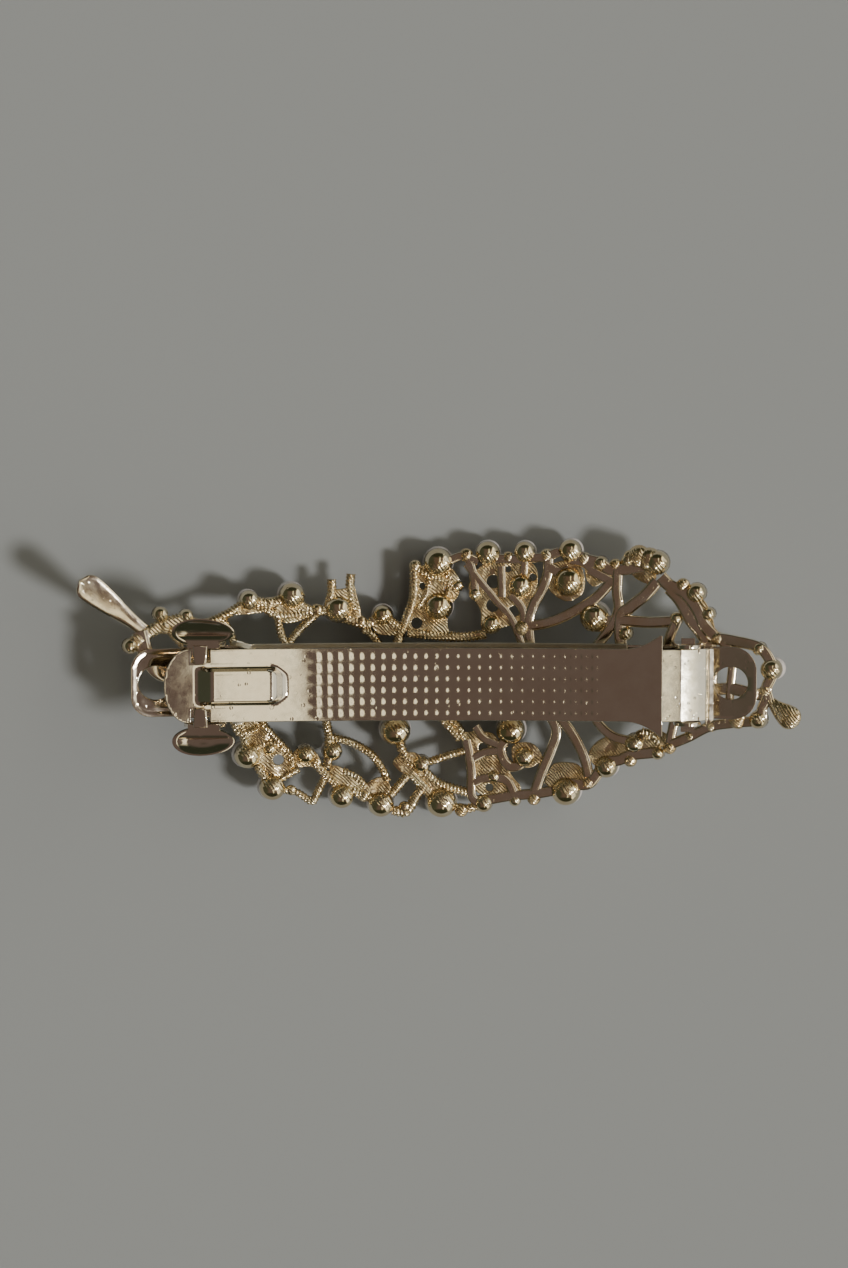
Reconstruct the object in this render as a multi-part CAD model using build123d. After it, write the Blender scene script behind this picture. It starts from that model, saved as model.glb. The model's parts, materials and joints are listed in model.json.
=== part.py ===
"""Leaf barrette: a hinged spring clip soldered to the back of a cast openwork leaf set with stones.

Millimetres, +Z up. The barrette lies on its stones with the clip facing up, so z = 0 is the lowest stone.
The origin is at the middle of the whole object's footprint. +X runs along the clip to its hinge end.
"""

from build123d import *
import os
from math import asin, degrees, hypot, sqrt

os.makedirs("parts", exist_ok=True)

# ---- Driving dimensions ----------------------------------------------------------------------------

ARCH_R = 130.0          # radius of the bend that follows the head, at the clip plate's underside
PLATE_T = 0.5           # thickness of the clip's base plate
SOLDER_T = 0.15         # solder between the plate and the casting
WEB_T = 1.2             # thickness of the cast leaf's ribs
CLIP_W = 9.3            # width of the clip's plate and arm
WALL_H = 1.1            # height of the base plate's side walls
WALL_T = 0.5
WALL_X = -1.0           # middle of the side walls
WALL_L = 50.0
CHANNEL_LEFT = -33.0    # the full-width strip between the two end tabs
CHANNEL_RIGHT = 36.0
TAB_ROOT_X = 20.0       # how far under the strip the two tabs reach, either side of the middle
LEFT_END = -39.5        # tip of the catch-end tab
RIGHT_END = 40.4        # tip of the hinge-end tab
LEFT_TAB_W = 8.8
LEFT_HOLE_X = -36.4
LEFT_HOLE_R = 2.15
RIGHT_HOLE_X = 37.2
RIGHT_HOLE_R = 2.1

ARM_R = 180.0           # the arm is bent less than the plate
ARM_T = 0.6
ARM_GAP = 6.3           # from the plate up to the arm, at the middle
NOSE_TIP = -35.0
NOSE_ROOT = -32.0       # where the nose reaches the arm's full width
FLARE_START = 23.5
SHOULDER_X = 28.2
SHOULDER_W = 12.8
NOTCH_X = (-31.6, -29.2)
NOTCH_FLOOR = 3.0       # half the width left between the two notches
BRIDGE_W = 4.2
BRIDGE_H = 1.5
BRIDGE_X = (-31.2, -28.8, -21.2, -19.5)

HINGE_X = 31.5
HINGE_LIFT = 3.9        # hinge axis above the plate
LUG_R = 0.88
LUG_T = 0.5
LUG_TIP = 6.0           # half the distance over the two lugs
HINGE_HOLE_R = 0.95
EAR_T = 0.5
EAR_IN = 4.7            # half the distance between the hinge ears
EAR_R = 1.7

LATCH_IN = 4.8          # half the distance between the latch ears
LATCH_T = 0.5
LATCH_X = -30.0
LATCH_L = 5.0
PAD_L = 8.0
PAD_W = 3.8
PAD_Y = 7.0
PAD_TILT = 22.0
HOOK_L = 2.0
HOOK_REACH = 2.75       # half the distance between the two hook tips

SPRING_W = 5.6
SPRING_T = 0.35
SPRING_LEFT = -22.0
SPRING_PIVOT_X = 25.5
SPRING_BOW = 0.6
STRAP_L = 1.6           # the strap on the plate that holds the spring down
STRAP_W = 7.4
STRAP_H = 1.5
STRAP_ROOM_W = 6.2
STRAP_ROOM_H = 1.15
ROLL_R = 0.4

# A cup of radius r is a dome on the leaf's back. Its stone is a little wider and shows at the front.
POCKET = 0.80
PEARL = 1.08
SEAT_GAP = 0.03
CUP_LIP = 0.12          # how far a cup's rim stands out of the leaf's front face
LOWEST_CUP_R = 2.0

# ---- Heights that follow from them -----------------------------------------------------------------


def pearl_depth(r):
    """Depth of a pearl's centre below its cup's rim, so that it sits just inside its pocket."""
    return sqrt((PEARL * r) ** 2 - (POCKET * r) ** 2) + SEAT_GAP


WEB_FRONT_Z = CUP_LIP + pearl_depth(LOWEST_CUP_R) + PEARL * LOWEST_CUP_R
PLATE_Z = WEB_FRONT_Z + WEB_T + SOLDER_T
ARCH_Z = PLATE_Z + ARCH_R
WEB_R = ARCH_R + SOLDER_T
FRONT_R = WEB_R + WEB_T
PLATE_TOP_R = ARCH_R - PLATE_T


def arch_z(x, radius):
    """Height, at x, of the surface that lies at this radius from the bend's axis."""
    return ARCH_Z - sqrt(radius**2 - x**2)


ARM_Z = arch_z(0, PLATE_TOP_R) + ARM_GAP
HINGE_Z = arch_z(HINGE_X, PLATE_TOP_R) + HINGE_LIFT


def arm_z(x):
    """Height of the arm's underside at x."""
    return ARM_Z + ARM_R - sqrt(ARM_R**2 - x**2)


# ---- The leaf: cups (x, y, radius, stone) and ribs (width, points) -----------------------------------

EDGE_PEARLS = [
    (-24.7, 10.3, 1.3), (-19.2, 10.8, 1.7), (-13.2, 9.0, 1.8), (-7.4, 8.2, 1.35),
    (-0.2, 15.0, 1.9), (6.2, 16.2, 1.6), (11.0, 16.4, 1.4), (16.9, 16.6, 1.5),
    (-25.0, -9.8, 1.7), (-21.8, -14.0, 1.7), (-12.8, -15.3, 1.6), (-7.7, -16.4, 1.7),
    (0.2, -16.2, 2.0), (16.4, -14.6, 1.9), (21.6, -11.3, 1.5),
]
INNER_PEARLS = [
    (-5.8, -6.8, 2.0), (9.2, -6.7, 1.9), (20.0, 8.0, 1.9), (-14.0, -9.4, 1.3),
    (-0.2, 9.3, 1.9), (42.5, 1.8, 1.4),
]
VEIN_PEARLS = [
    (-29.0, 1.2, 1.6), (-23.6, -1.4, 1.8), (-18.0, 1.5, 1.9), (-12.2, -1.5, 2.0), (-6.2, 1.6, 2.0),
    (0.0, -1.5, 2.0), (6.2, 1.6, 2.0), (12.4, -1.5, 2.0), (18.2, 1.5, 1.9), (24.0, -1.4, 1.8),
    (29.4, 1.2, 1.7), (34.6, -1.2, 1.4),
]
CRYSTALS = [
    (16.7, 12.6, 2.0), (10.5, 12.0, 1.6), (28.0, 15.2, 1.6), (33.0, 11.4, 1.3), (6.7, 7.0, 1.3),
    (24.3, 15.4, 0.9), (20.8, 15.0, 1.0), (-17.5, -9.8, 1.3), (-2.4, -11.2, 1.2), (5.7, -16.3, 1.2),
    (11.0, -10.2, 1.4), (25.2, -8.2, 1.3), (40.9, -4.7, 1.2), (-22.2, -9.0, 0.9),
]
SEED_CRYSTALS = [
    (-36.0, 8.7, 1.0), (-32.7, 8.4, 0.9), (-39.8, 4.7, 1.0), (2.3, 12.0, 0.8), (4.6, 11.0, 0.9),
    (24.0, 6.0, 1.0), (30.5, 8.0, 0.9), (34.6, 8.7, 0.9), (41.0, 4.4, 0.9), (28.2, -9.4, 0.9),
    (7.0, -12.8, 0.9), (9.8, -15.9, 0.8),
]

STEM_ROOT = (-38.0, 6.8)
STEM_TIP = (-44.9, 12.6)
BUD_ROOT = (42.0, -2.2)
BUD_TIP = (44.9, -4.5)
BUD_R = 1.5

RIBS = [
    # the midrib and the left end under the clip
    (1.8, [(-38.2, 6.6), (-37.6, 3.6), (-35.8, 1.2), (-32.0, 0.6), (-29.0, 1.2)]),
    (1.6, [(-39.6, 4.6), (-37.0, 6.6), (-35.2, 7.4), (-32.7, 8.4), (-29.6, 8.0), (-27.5, 8.5),
           (-24.7, 10.3)]),
    (1.0, [(-36.0, 8.7), (-35.2, 7.4), (-33.5, 5.2), (-29.0, 1.2)]),
    (1.6, [(x, y) for x, y, r in VEIN_PEARLS]),
    (1.4, [(34.6, -1.2), (37.2, -0.8), (40.5, -2.4), (42.0, -2.2)]),
    # upper edge of the narrow end
    (1.5, [(-24.7, 10.3), (-22.0, 10.0), (-19.2, 10.8), (-16.5, 8.8), (-13.2, 9.0), (-12.0, 7.8)]),
    (1.3, [(-12.0, 7.8), (-8.5, 6.8), (-7.4, 8.2), (-4.5, 6.0)]),
    (1.1, [(-24.7, 10.3), (-21.3, 8.5), (-20.3, 5.4), (-18.0, 1.5)]),
    (1.1, [(-16.0, 8.4), (-19.0, 5.4), (-23.6, -1.4)]),
    (1.1, [(-10.0, 6.5), (-8.5, 5.3), (-6.2, 1.6)]),
    (1.0, [(-13.9, 12.9), (-13.2, 11.7), (-13.2, 9.0)]),
    (1.0, [(-11.6, 13.7), (-12.0, 11.7), (-13.2, 9.0)]),
    (1.0, [(-28.0, 8.2), (-26.5, 4.0), (-29.0, 1.2)]),
    # upper lobe
    (1.2, [(-5.0, 6.0), (-4.0, 8.5), (-3.3, 11.0), (-3.0, 14.5), (-0.2, 15.0)]),
    (1.2, [(-6.2, 1.6), (-5.0, 6.0), (-0.2, 9.3), (2.3, 11.8), (4.6, 11.0), (6.7, 7.0)]),
    (1.0, [(-0.2, 15.0), (-0.9, 12.2), (-0.2, 9.3)]),
    (1.0, [(-0.2, 15.0), (2.3, 12.0), (6.2, 16.2), (11.0, 16.4), (13.8, 15.8), (16.9, 16.6)]),
    (1.3, [(16.9, 16.6), (19.5, 15.0), (20.8, 15.0), (24.3, 15.4), (28.0, 15.2)]),
    (0.9, [(4.2, 14.0), (9.7, 7.0), (12.4, -1.5)]),
    (1.0, [(4.6, 11.0), (4.2, 14.0), (6.2, 16.2)]),
    (1.0, [(10.5, 12.0), (11.0, 16.4)]),
    (1.2, [(14.0, 15.8), (13.4, 12.5), (12.0, 9.5), (11.5, 6.5), (12.4, -1.5)]),
    (1.2, [(6.7, 7.0), (12.0, 6.8), (16.0, 8.2), (20.0, 10.5), (21.8, 12.5), (20.8, 15.0)]),
    (1.0, [(10.5, 12.0), (13.4, 12.5), (16.7, 12.6), (20.0, 10.5)]),
    (1.1, [(24.3, 15.4), (23.0, 14.0), (22.7, 8.5), (18.2, 1.5)]),
    (1.2, [(28.0, 15.2), (27.5, 12.0), (24.5, 9.5), (23.2, 7.6), (24.0, -1.4)]),
    (1.1, [(20.0, 8.0), (23.0, 7.7), (27.0, 7.4), (30.5, 8.0), (30.3, 12.0)]),
    (1.3, [(28.0, 15.2), (29.5, 12.4), (31.5, 11.4), (33.0, 11.4), (34.6, 8.7), (35.6, 5.6)]),
    (1.6, [(30.3, 12.0), (31.8, 9.5), (33.0, 7.5), (34.6, 4.0), (34.6, -1.2)]),
    (1.2, [(30.5, 8.0), (29.4, 5.0), (29.4, 1.2)]),
    (1.2, [(35.6, 5.6), (37.8, 5.4), (41.0, 4.4), (42.5, 1.8), (41.6, -0.6), (42.0, -2.2), (40.9, -4.7)]),
    (1.2, [(40.9, -4.7), (37.6, -5.2), (34.6, -5.6), (32.0, -7.2), (29.5, -8.3), (28.2, -9.4)]),
    (1.0, [(35.6, 5.6), (37.6, 3.6), (37.2, -0.8), (37.6, -5.2)]),
    # lower edge
    (1.3, [(-29.0, 1.2), (-27.0, -4.0), (-25.2, -7.0), (-25.0, -9.8)]),
    (1.2, [(-25.0, -9.8), (-23.4, -11.6), (-21.8, -14.0), (-19.0, -14.6), (-16.6, -16.0), (-12.8, -15.3)]),
    (1.1, [(-23.6, -1.4), (-23.0, -5.4), (-22.0, -6.8), (-20.4, -8.6), (-19.3, -10.4), (-18.4, -12.0)]),
    (1.0, [(-25.0, -9.8), (-22.2, -9.0), (-20.4, -8.6)]),
    (1.0, [(-21.8, -14.0), (-18.4, -12.0), (-17.5, -9.8), (-14.9, -12.6), (-16.4, -15.8)]),
    (1.1, [(-12.2, -1.5), (-14.8, -5.0), (-14.3, -7.5), (-14.7, -12.2), (-12.8, -15.3)]),
    (1.0, [(-14.2, -7.6), (-11.5, -8.3), (-9.0, -9.8), (-7.4, -11.6), (-6.8, -13.4), (-7.7, -16.4)]),
    (1.1, [(-12.8, -15.3), (-10.0, -15.0), (-7.7, -16.4), (-4.6, -15.6), (-2.8, -15.0), (0.2, -16.2)]),
    (1.1, [(0.0, -1.5), (-5.8, -6.8), (-4.6, -9.6), (-2.4, -11.2), (-6.8, -13.4)]),
    (1.2, [(-2.4, -11.2), (-3.2, -13.2), (-1.0, -15.5)]),
    (1.1, [(0.0, -1.5), (0.8, -5.6), (2.5, -7.6), (3.6, -10.0), (4.0, -14.6), (5.7, -16.3)]),
    (1.1, [(-2.4, -11.2), (0.2, -10.4), (3.4, -9.4)]),
    (1.3, [(0.2, -16.2), (2.8, -16.8), (5.7, -16.3), (9.8, -15.9), (12.4, -15.2), (16.4, -14.6)]),
    (1.0, [(12.4, -1.5), (9.2, -6.7), (7.8, -9.0), (9.4, -11.6), (11.0, -10.2)]),
    (1.0, [(3.6, -9.4), (7.8, -9.0), (7.0, -12.8), (9.8, -15.9)]),
    (1.1, [(12.4, -1.5), (14.6, -5.6), (15.1, -7.2), (14.4, -9.4), (13.0, -12.5), (12.4, -15.2)]),
    (1.1, [(12.4, -1.5), (16.0, -5.4), (17.5, -7.5), (18.8, -10.5), (19.2, -13.0)]),
    (1.2, [(16.4, -14.6), (19.2, -13.6), (21.6, -11.3), (24.4, -10.2), (28.2, -9.4)]),
    (1.1, [(18.2, 1.5), (20.0, -5.0), (22.5, -7.4), (25.2, -8.2), (25.0, -10.0)]),
    (1.1, [(29.4, 1.2), (30.0, -4.0), (29.5, -8.3)]),
    (1.0, [(34.6, -1.2), (34.6, -5.6)]),
]

# thin sheets that fill some of the gaps between ribs: plan points, then x, y, radius of the round holes
WEBS = [
    ([(-26.6, 8.4), (-25.8, 10.0), (-23.2, 10.4), (-21.4, 9.8), (-22.4, 8.8), (-24.6, 8.5)], []),
    ([(-21.4, 8.4), (-21.0, 10.2), (-17.6, 10.2), (-16.6, 8.2), (-18.8, 7.3), (-20.2, 7.3)], []),
    ([(-15.2, 8.6), (-14.8, 10.4), (-14.2, 12.0), (-13.2, 11.6), (-12.2, 11.8), (-11.0, 12.2),
      (-10.8, 11.0), (-10.1, 8.6), (-10.3, 7.3), (-13.4, 7.2)], []),
    ([(-9.0, 7.2), (-6.6, 7.4), (-5.2, 6.8), (-5.6, 5.5), (-8.2, 5.7)], []),
    ([(-4.6, 6.0), (-4.2, 9.0), (-3.4, 12.0), (-3.2, 14.4), (-1.4, 15.0), (1.6, 14.4), (2.6, 13.0),
      (2.6, 10.8), (1.2, 9.4), (0.9, 7.0), (1.4, 5.6), (-2.0, 5.4)],
     [(-2.2, 12.0, 0.45), (0.9, 11.6, 0.4), (-3.0, 7.2, 0.7)]),
    ([(4.2, 10.4), (3.6, 11.8), (4.0, 13.0), (5.2, 14.8), (7.4, 15.2), (10.0, 15.4), (12.4, 15.0),
      (12.8, 12.6), (12.0, 10.4), (11.4, 8.2), (10.4, 7.2), (8.0, 6.6), (5.8, 5.8), (5.2, 6.8),
      (5.4, 8.8)],
     [(6.9, 12.6, 0.85), (8.8, 14.2, 0.4), (6.8, 9.5, 0.8), (9.6, 8.8, 0.7), (12.0, 13.2, 0.45)]),
    ([(13.9, 13.6), (14.6, 15.2), (17.6, 15.6), (18.8, 13.4), (18.6, 11.0), (16.6, 9.9),
      (15.0, 10.6), (13.8, 11.8)], []),
    ([(18.6, 14.8), (20.6, 14.6), (21.6, 13.0), (19.9, 11.8), (18.8, 12.8)], []),
    ([(24.0, 15.0), (26.0, 15.4), (28.0, 13.8), (27.4, 12.2), (25.6, 12.8), (24.4, 13.8)], []),
    ([(18.3, 8.6), (19.0, 9.6), (21.2, 9.2), (22.4, 7.6), (21.4, 6.2), (19.2, 6.2)], []),
    ([(33.8, 7.8), (32.8, 10.6), (34.0, 10.6), (35.0, 8.2), (35.4, 6.0), (34.4, 5.6)], []),
    ([(-25.8, -5.2), (-24.0, -5.0), (-22.4, -6.6), (-20.2, -8.6), (-19.0, -10.6), (-19.4, -12.2),
      (-21.0, -12.8), (-23.4, -11.4), (-25.0, -9.2)], [(-20.9, -10.4, 0.7)]),
    ([(-19.2, -9.8), (-18.4, -8.8), (-16.8, -8.8), (-15.6, -10.0), (-15.2, -11.8), (-17.0, -11.3),
      (-18.6, -11.6)], []),
    ([(-14.6, -11.4), (-13.4, -11.2), (-12.0, -12.0), (-11.0, -13.4), (-9.6, -13.9), (-8.8, -15.2),
      (-11.0, -15.0), (-13.4, -14.6)], []),
    ([(-9.8, -13.8), (-8.0, -12.7), (-6.7, -13.2), (-6.2, -14.6), (-7.4, -15.4), (-9.0, -15.0)],
     []),
    ([(-6.4, -10.8), (-4.8, -9.6), (-2.9, -9.6), (-1.4, -11.6), (-2.0, -12.8), (-4.0, -13.0),
      (-5.4, -12.0)], []),
    ([(-3.4, -12.6), (-1.8, -12.8), (0.8, -13.6), (1.0, -15.0), (-1.6, -15.4)], []),
    ([(2.4, -7.2), (4.4, -6.8), (7.2, -7.0), (8.4, -10.0), (9.2, -12.6), (10.8, -14.2),
      (9.8, -15.6), (6.6, -15.6), (4.2, -14.6), (4.4, -11.6), (4.0, -9.4)],
     [(5.6, -9.0, 0.6), (6.4, -14.2, 0.5)]),
    ([(9.2, -8.4), (12.2, -8.2), (13.6, -10.4), (11.8, -11.8), (9.4, -11.2)], []),
    ([(14.0, -12.2), (14.8, -10.8), (17.6, -10.8), (18.9, -12.0), (18.6, -13.6), (15.6, -14.4),
      (13.4, -13.8)], []),
    ([(19.0, -9.8), (20.2, -8.0), (22.4, -7.0), (24.8, -7.8), (24.8, -9.9), (22.4, -10.6),
      (20.2, -11.6)], []),
    ([(25.0, -6.6), (27.0, -6.2), (29.6, -6.8), (28.8, -8.8), (25.2, -9.6)], []),
]

# ---- Helpers ---------------------------------------------------------------------------------------


def solid_cylinder_along_y(radius, z):
    return Pos(0, 0, z) * Rot(90, 0, 0) * Cylinder(radius, 60)


def pierced_sheet(points, holes):
    """The outline of a sheet between ribs, with its holes."""
    sheet = make_face(Polyline(*points, close=True))
    for x, y, r in holes:
        sheet -= Pos(x, y) * Circle(r)
    return sheet


def bent_sheet(outline, inner_radius, outer_radius, axis_z):
    """A flat outline, rolled to a bend about Y: the part of its prism between the two radii."""
    prism = Pos(0, 0, -1) * extrude(outline, 40)
    shell = solid_cylinder_along_y(outer_radius, axis_z) - solid_cylinder_along_y(inner_radius, axis_z)
    return prism & shell


def on_arch(x, y, radius):
    """A place on the bend with its own +Z towards the bend's axis."""
    return Location((x, y, arch_z(x, radius)), (0, -degrees(asin(x / radius)), 0))


def box_between(x0, x1, y0, y1, z0, z1):
    return Pos((x0 + x1) / 2, (y0 + y1) / 2, (z0 + z1) / 2) * Box(abs(x1 - x0), abs(y1 - y0), abs(z1 - z0))


def rectangle_between(x0, x1, width):
    return Pos((x0 + x1) / 2, 0) * Rectangle(x1 - x0, width)


def rib(points, width):
    """The outline of one rib, as a strip of even width along its points."""
    left = []
    right = []
    for i, (x, y) in enumerate(points):
        ax, ay = points[max(i - 1, 0)]
        bx, by = points[min(i + 1, len(points) - 1)]
        length = hypot(bx - ax, by - ay)
        nx = -(by - ay) / length * width / 2
        ny = (bx - ax) / length * width / 2
        left.append((x + nx, y + ny))
        right.append((x - nx, y - ny))
    return make_face(Polyline(*left, *reversed(right), close=True))


def side_plate(outline_xz, y0, y1):
    """An outline drawn in the XZ plane, given thickness from y0 to y1."""
    face = Plane(origin=(0, y0, 0), x_dir=(1, 0, 0), z_dir=(0, 1, 0)) * outline_xz
    return extrude(face, y1 - y0)


def mirrored_xz(points):
    """XZ points for side_plate, whose plane has its own second axis pointing down."""
    return [(x, -z) for x, z in points]


# ---- Pieces ----------------------------------------------------------------------------------------


def make_base_plate():
    left_tab_length = -TAB_ROOT_X - LEFT_END
    right_tab_length = RIGHT_END - TAB_ROOT_X
    outline = Pos(LEFT_END + left_tab_length / 2, 0) * RectangleRounded(left_tab_length, LEFT_TAB_W, 2.6)
    outline += Pos(RIGHT_END - right_tab_length / 2, 0) * RectangleRounded(right_tab_length, CLIP_W, 3.0)
    outline += rectangle_between(CHANNEL_LEFT, CHANNEL_RIGHT, CLIP_W)
    outline += rectangle_between(HINGE_X - EAR_R, HINGE_X + EAR_R, 2 * (EAR_IN + EAR_T))
    plate = bent_sheet(outline, PLATE_TOP_R, ARCH_R, ARCH_Z)
    for x, r in ((LEFT_HOLE_X, LEFT_HOLE_R), (RIGHT_HOLE_X, RIGHT_HOLE_R)):
        plate -= on_arch(x, 0, ARCH_R) * Cylinder(r, 4)
    wall_lines = Sketch()
    for side in (-1, 1):
        wall_lines += Pos(WALL_X, side * (CLIP_W - WALL_T) / 2) * Rectangle(WALL_L, WALL_T)
    plate += bent_sheet(wall_lines, PLATE_TOP_R - WALL_H, ARCH_R - 0.1, ARCH_Z)
    foot_z = arch_z(HINGE_X - EAR_R, ARCH_R)
    ear = Pos(HINGE_X, -HINGE_Z) * Circle(EAR_R)
    ear += Pos(HINGE_X, -(HINGE_Z + foot_z) / 2) * Rectangle(2 * EAR_R, HINGE_Z - foot_z)
    ear -= Pos(HINGE_X, -HINGE_Z) * Circle(HINGE_HOLE_R)
    ears = side_plate(ear, EAR_IN, EAR_IN + EAR_T) + side_plate(ear, -EAR_IN - EAR_T, -EAR_IN)
    plate += ears & solid_cylinder_along_y(ARCH_R, ARCH_Z)
    strap = Pos(0, 0, STRAP_H / 2) * Box(STRAP_L, STRAP_W, STRAP_H)
    strap -= Pos(0, 0, STRAP_ROOM_H / 2) * Box(STRAP_L, STRAP_ROOM_W, STRAP_ROOM_H)
    plate += on_arch(SPRING_PIVOT_X, 0, PLATE_TOP_R) * strap
    return plate


def arm_outline():
    """The stamped arm in plan: round nose, straight blade and flared shoulders."""
    half = CLIP_W / 2
    wide = SHOULDER_W / 2
    nose = Pos(NOSE_ROOT, 0) * Ellipse(NOSE_ROOT - NOSE_TIP, half)
    root = Line((NOSE_ROOT, half), (NOSE_ROOT, -half))
    lower_edge = Line((NOSE_ROOT, -half), (FLARE_START, -half))
    lower_flare = ThreePointArc((FLARE_START, -half), (26.4, -half - 0.45), (SHOULDER_X - 0.4, -wide))
    lower_side = Line((SHOULDER_X - 0.4, -wide), (SHOULDER_X, -wide))
    end = Line((SHOULDER_X, -wide), (SHOULDER_X, wide))
    upper_side = Line((SHOULDER_X, wide), (SHOULDER_X - 0.4, wide))
    upper_flare = ThreePointArc((SHOULDER_X - 0.4, wide), (26.4, half + 0.45), (FLARE_START, half))
    upper_edge = Line((FLARE_START, half), (NOSE_ROOT, half))
    edges = [root, lower_edge, lower_flare, lower_side, end, upper_side, upper_flare, upper_edge]
    return make_face(edges) + nose


def make_clasp_arm():
    outline = arm_outline()
    notch_mid = sum(NOTCH_X) / 2
    for side in (-1, 1):
        notch = Rectangle(NOTCH_X[1] - NOTCH_X[0], 3.0)
        outline -= Pos(notch_mid, side * (NOTCH_FLOOR + 1.5)) * notch
    outline -= rectangle_between(BRIDGE_X[0] + 1.0, BRIDGE_X[3] - 0.8, BRIDGE_W + 0.4)
    arm = bent_sheet(outline, ARM_R - ARM_T, ARM_R, ARM_Z + ARM_R)
    x0, x1, x2, x3 = BRIDGE_X
    lift = BRIDGE_H
    low = [(x0, arm_z(x0) + 0.1), (x1, arm_z(x1) + lift), (x2, arm_z(x2) + lift), (x3, arm_z(x3) + 0.1)]
    low = [(x0 - 1.0, arm_z(x0 - 1.0) + 0.1)] + low + [(x3 + 1.0, arm_z(x3 + 1.0) + 0.1)]
    high = [(x, z + ARM_T) for x, z in low]
    high[0] = (high[0][0], high[0][1] - 0.2)
    high[-1] = (high[-1][0], high[-1][1] - 0.2)
    bridge = make_face(Polyline(*mirrored_xz(low + high[::-1]), close=True))
    arm += side_plate(bridge, -BRIDGE_W / 2, BRIDGE_W / 2)
    arm += make_knuckle()
    return arm


def make_knuckle():
    """The arm's hinge end: a hood over the hinge, two cheeks and the two flat lugs."""
    x, z = HINGE_X, HINGE_Z
    start_top = (SHOULDER_X - 0.6, arm_z(SHOULDER_X - 0.6) + ARM_T - 0.02)
    start_low = (SHOULDER_X - 0.6, arm_z(SHOULDER_X - 0.6) + 0.02)
    top = [start_top, (x - 1.1, z + 1.62), (x + 1.8, z + 0.85), (x + 2.85, z - 0.9)]
    low = [start_low, (x - 1.1, z + 1.02), (x + 1.35, z + 0.38), (x + 2.25, z - 0.9)]
    top = mirrored_xz(top)
    low = mirrored_xz(low)
    hood = make_face([
        Line(top[0], top[1]),
        ThreePointArc(top[1], top[2], top[3]),
        Line(top[3], low[3]),
        ThreePointArc(low[3], low[2], low[1]),
        Line(low[1], low[0]),
        Line(low[0], top[0]),
    ])
    knuckle = side_plate(hood, -4.6, 4.6)
    cheek = make_face(Polyline(*mirrored_xz([
        (x - 1.5, z - 0.6), (x - 0.9, z - 1.1), (x + 1.2, z - 1.1), (x + 1.9, z - 0.4),
        (x + 1.6, z + 0.7), (x - 1.1, z + 1.3), (x - 1.5, z + 1.2),
    ]), close=True))
    lug = Pos(x, -z) * (Circle(LUG_R) & Rectangle(2 * LUG_R + 1, LUG_T))
    for side in (-1, 1):
        knuckle += side_plate(cheek, side * 4.3 - 0.3, side * 4.3 + 0.3)
        knuckle += side_plate(lug, side * 5.1 - (LUG_TIP - 5.1), side * 5.1 + (LUG_TIP - 5.1))
    return knuckle


def make_tension_spring():
    pivot = on_arch(SPRING_PIVOT_X, 0, PLATE_TOP_R - 0.55).position
    middle = (SPRING_LEFT + SPRING_PIVOT_X) / 2
    low = [
        (SPRING_LEFT, arch_z(SPRING_LEFT, PLATE_TOP_R) + 0.15),
        (middle, arch_z(middle, PLATE_TOP_R) + 0.25 + SPRING_BOW),
        (pivot.X - 0.1, pivot.Z - SPRING_T / 2),
    ]
    high = [(x, z + SPRING_T) for x, z in low]
    low = mirrored_xz(low)
    high = mirrored_xz(high)
    strip = make_face([
        ThreePointArc(*low),
        Line(low[2], high[2]),
        ThreePointArc(*reversed(high)),
        Line(high[0], low[0]),
    ])
    strip += Pos(pivot.X, -pivot.Z) * Circle(ROLL_R)
    return side_plate(strip, -SPRING_W / 2, SPRING_W / 2)


def make_latch_ear(side):
    """One springy ear of the catch: root wall, flared finger pad and hook. side is +1 or -1 along Y."""
    hook_z = arm_z(NOTCH_X[0]) + ARM_T + 0.1
    top_z = hook_z + LATCH_T
    mid_y = LATCH_IN + LATCH_T / 2
    ear = box_between(
        LATCH_X - LATCH_L / 2, LATCH_X + LATCH_L / 2, side * LATCH_IN, side * (LATCH_IN + LATCH_T), 4, top_z
    )
    ear = ear & solid_cylinder_along_y(ARCH_R - 0.2, ARCH_Z)
    pad = extrude(Ellipse(PAD_L / 2, PAD_W / 2), LATCH_T / 2, both=True)
    ear += Pos(LATCH_X, side * PAD_Y, top_z - 0.2) * Rot(side * PAD_TILT, 0, 0) * pad
    ear += box_between(
        LATCH_X - 1.6, LATCH_X + 1.6, side * mid_y, side * (PAD_Y - 0.8), top_z - 0.85, top_z - 0.35
    )
    hook_mid = sum(NOTCH_X) / 2
    ear += box_between(
        hook_mid - HOOK_L / 2, hook_mid + HOOK_L / 2, side * HOOK_REACH, side * mid_y, hook_z, top_z
    )
    return ear


def solder_pad(x0, x1):
    return bent_sheet(rectangle_between(x0, x1, 6.0), ARCH_R, WEB_R, ARCH_Z)


def pearl(r):
    """A pearl with a small flat on its back, in its cup's own frame: z = 0 is the cup's rim."""
    depth = pearl_depth(r)
    floor = 0.75 * (PEARL * r - depth)
    ball = Pos(0, 0, -depth) * Sphere(PEARL * r)
    return ball - Pos(0, 0, floor + 5) * Box(10, 10, 10), floor


def crystal(r):
    """A cut crystal in its cup's own frame: flat back, girdle just below the leaf, crown and table."""
    floor = 0.35 * r
    back = Pos(0, 0, floor / 2) * Cone(POCKET * r - 0.05, POCKET * r - 0.2, floor)
    girdle = Pos(0, 0, -0.15 * r) * Cylinder(1.04 * r, 0.3 * r)
    crown = Pos(0, 0, -0.55 * r) * Cone(0.6 * r, 1.04 * r, 0.5 * r)
    return back + girdle + crown, floor


def domed_cup(r):
    """A cup with a domed back, in its own frame."""
    waist = CUP_LIP + WEB_T / 2
    dome = Pos(0, 0, waist) * Sphere(r) - Pos(0, 0, waist - 5) * Box(10, 10, 10)
    return Pos(0, 0, waist / 2) * Cylinder(r, waist) + dome


def flat_cup(r):
    """A cup under the clip, whose back stays just below the leaf's."""
    height = CUP_LIP + WEB_T - 0.1
    return Pos(0, 0, height / 2) * Cylinder(r, height)


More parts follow.
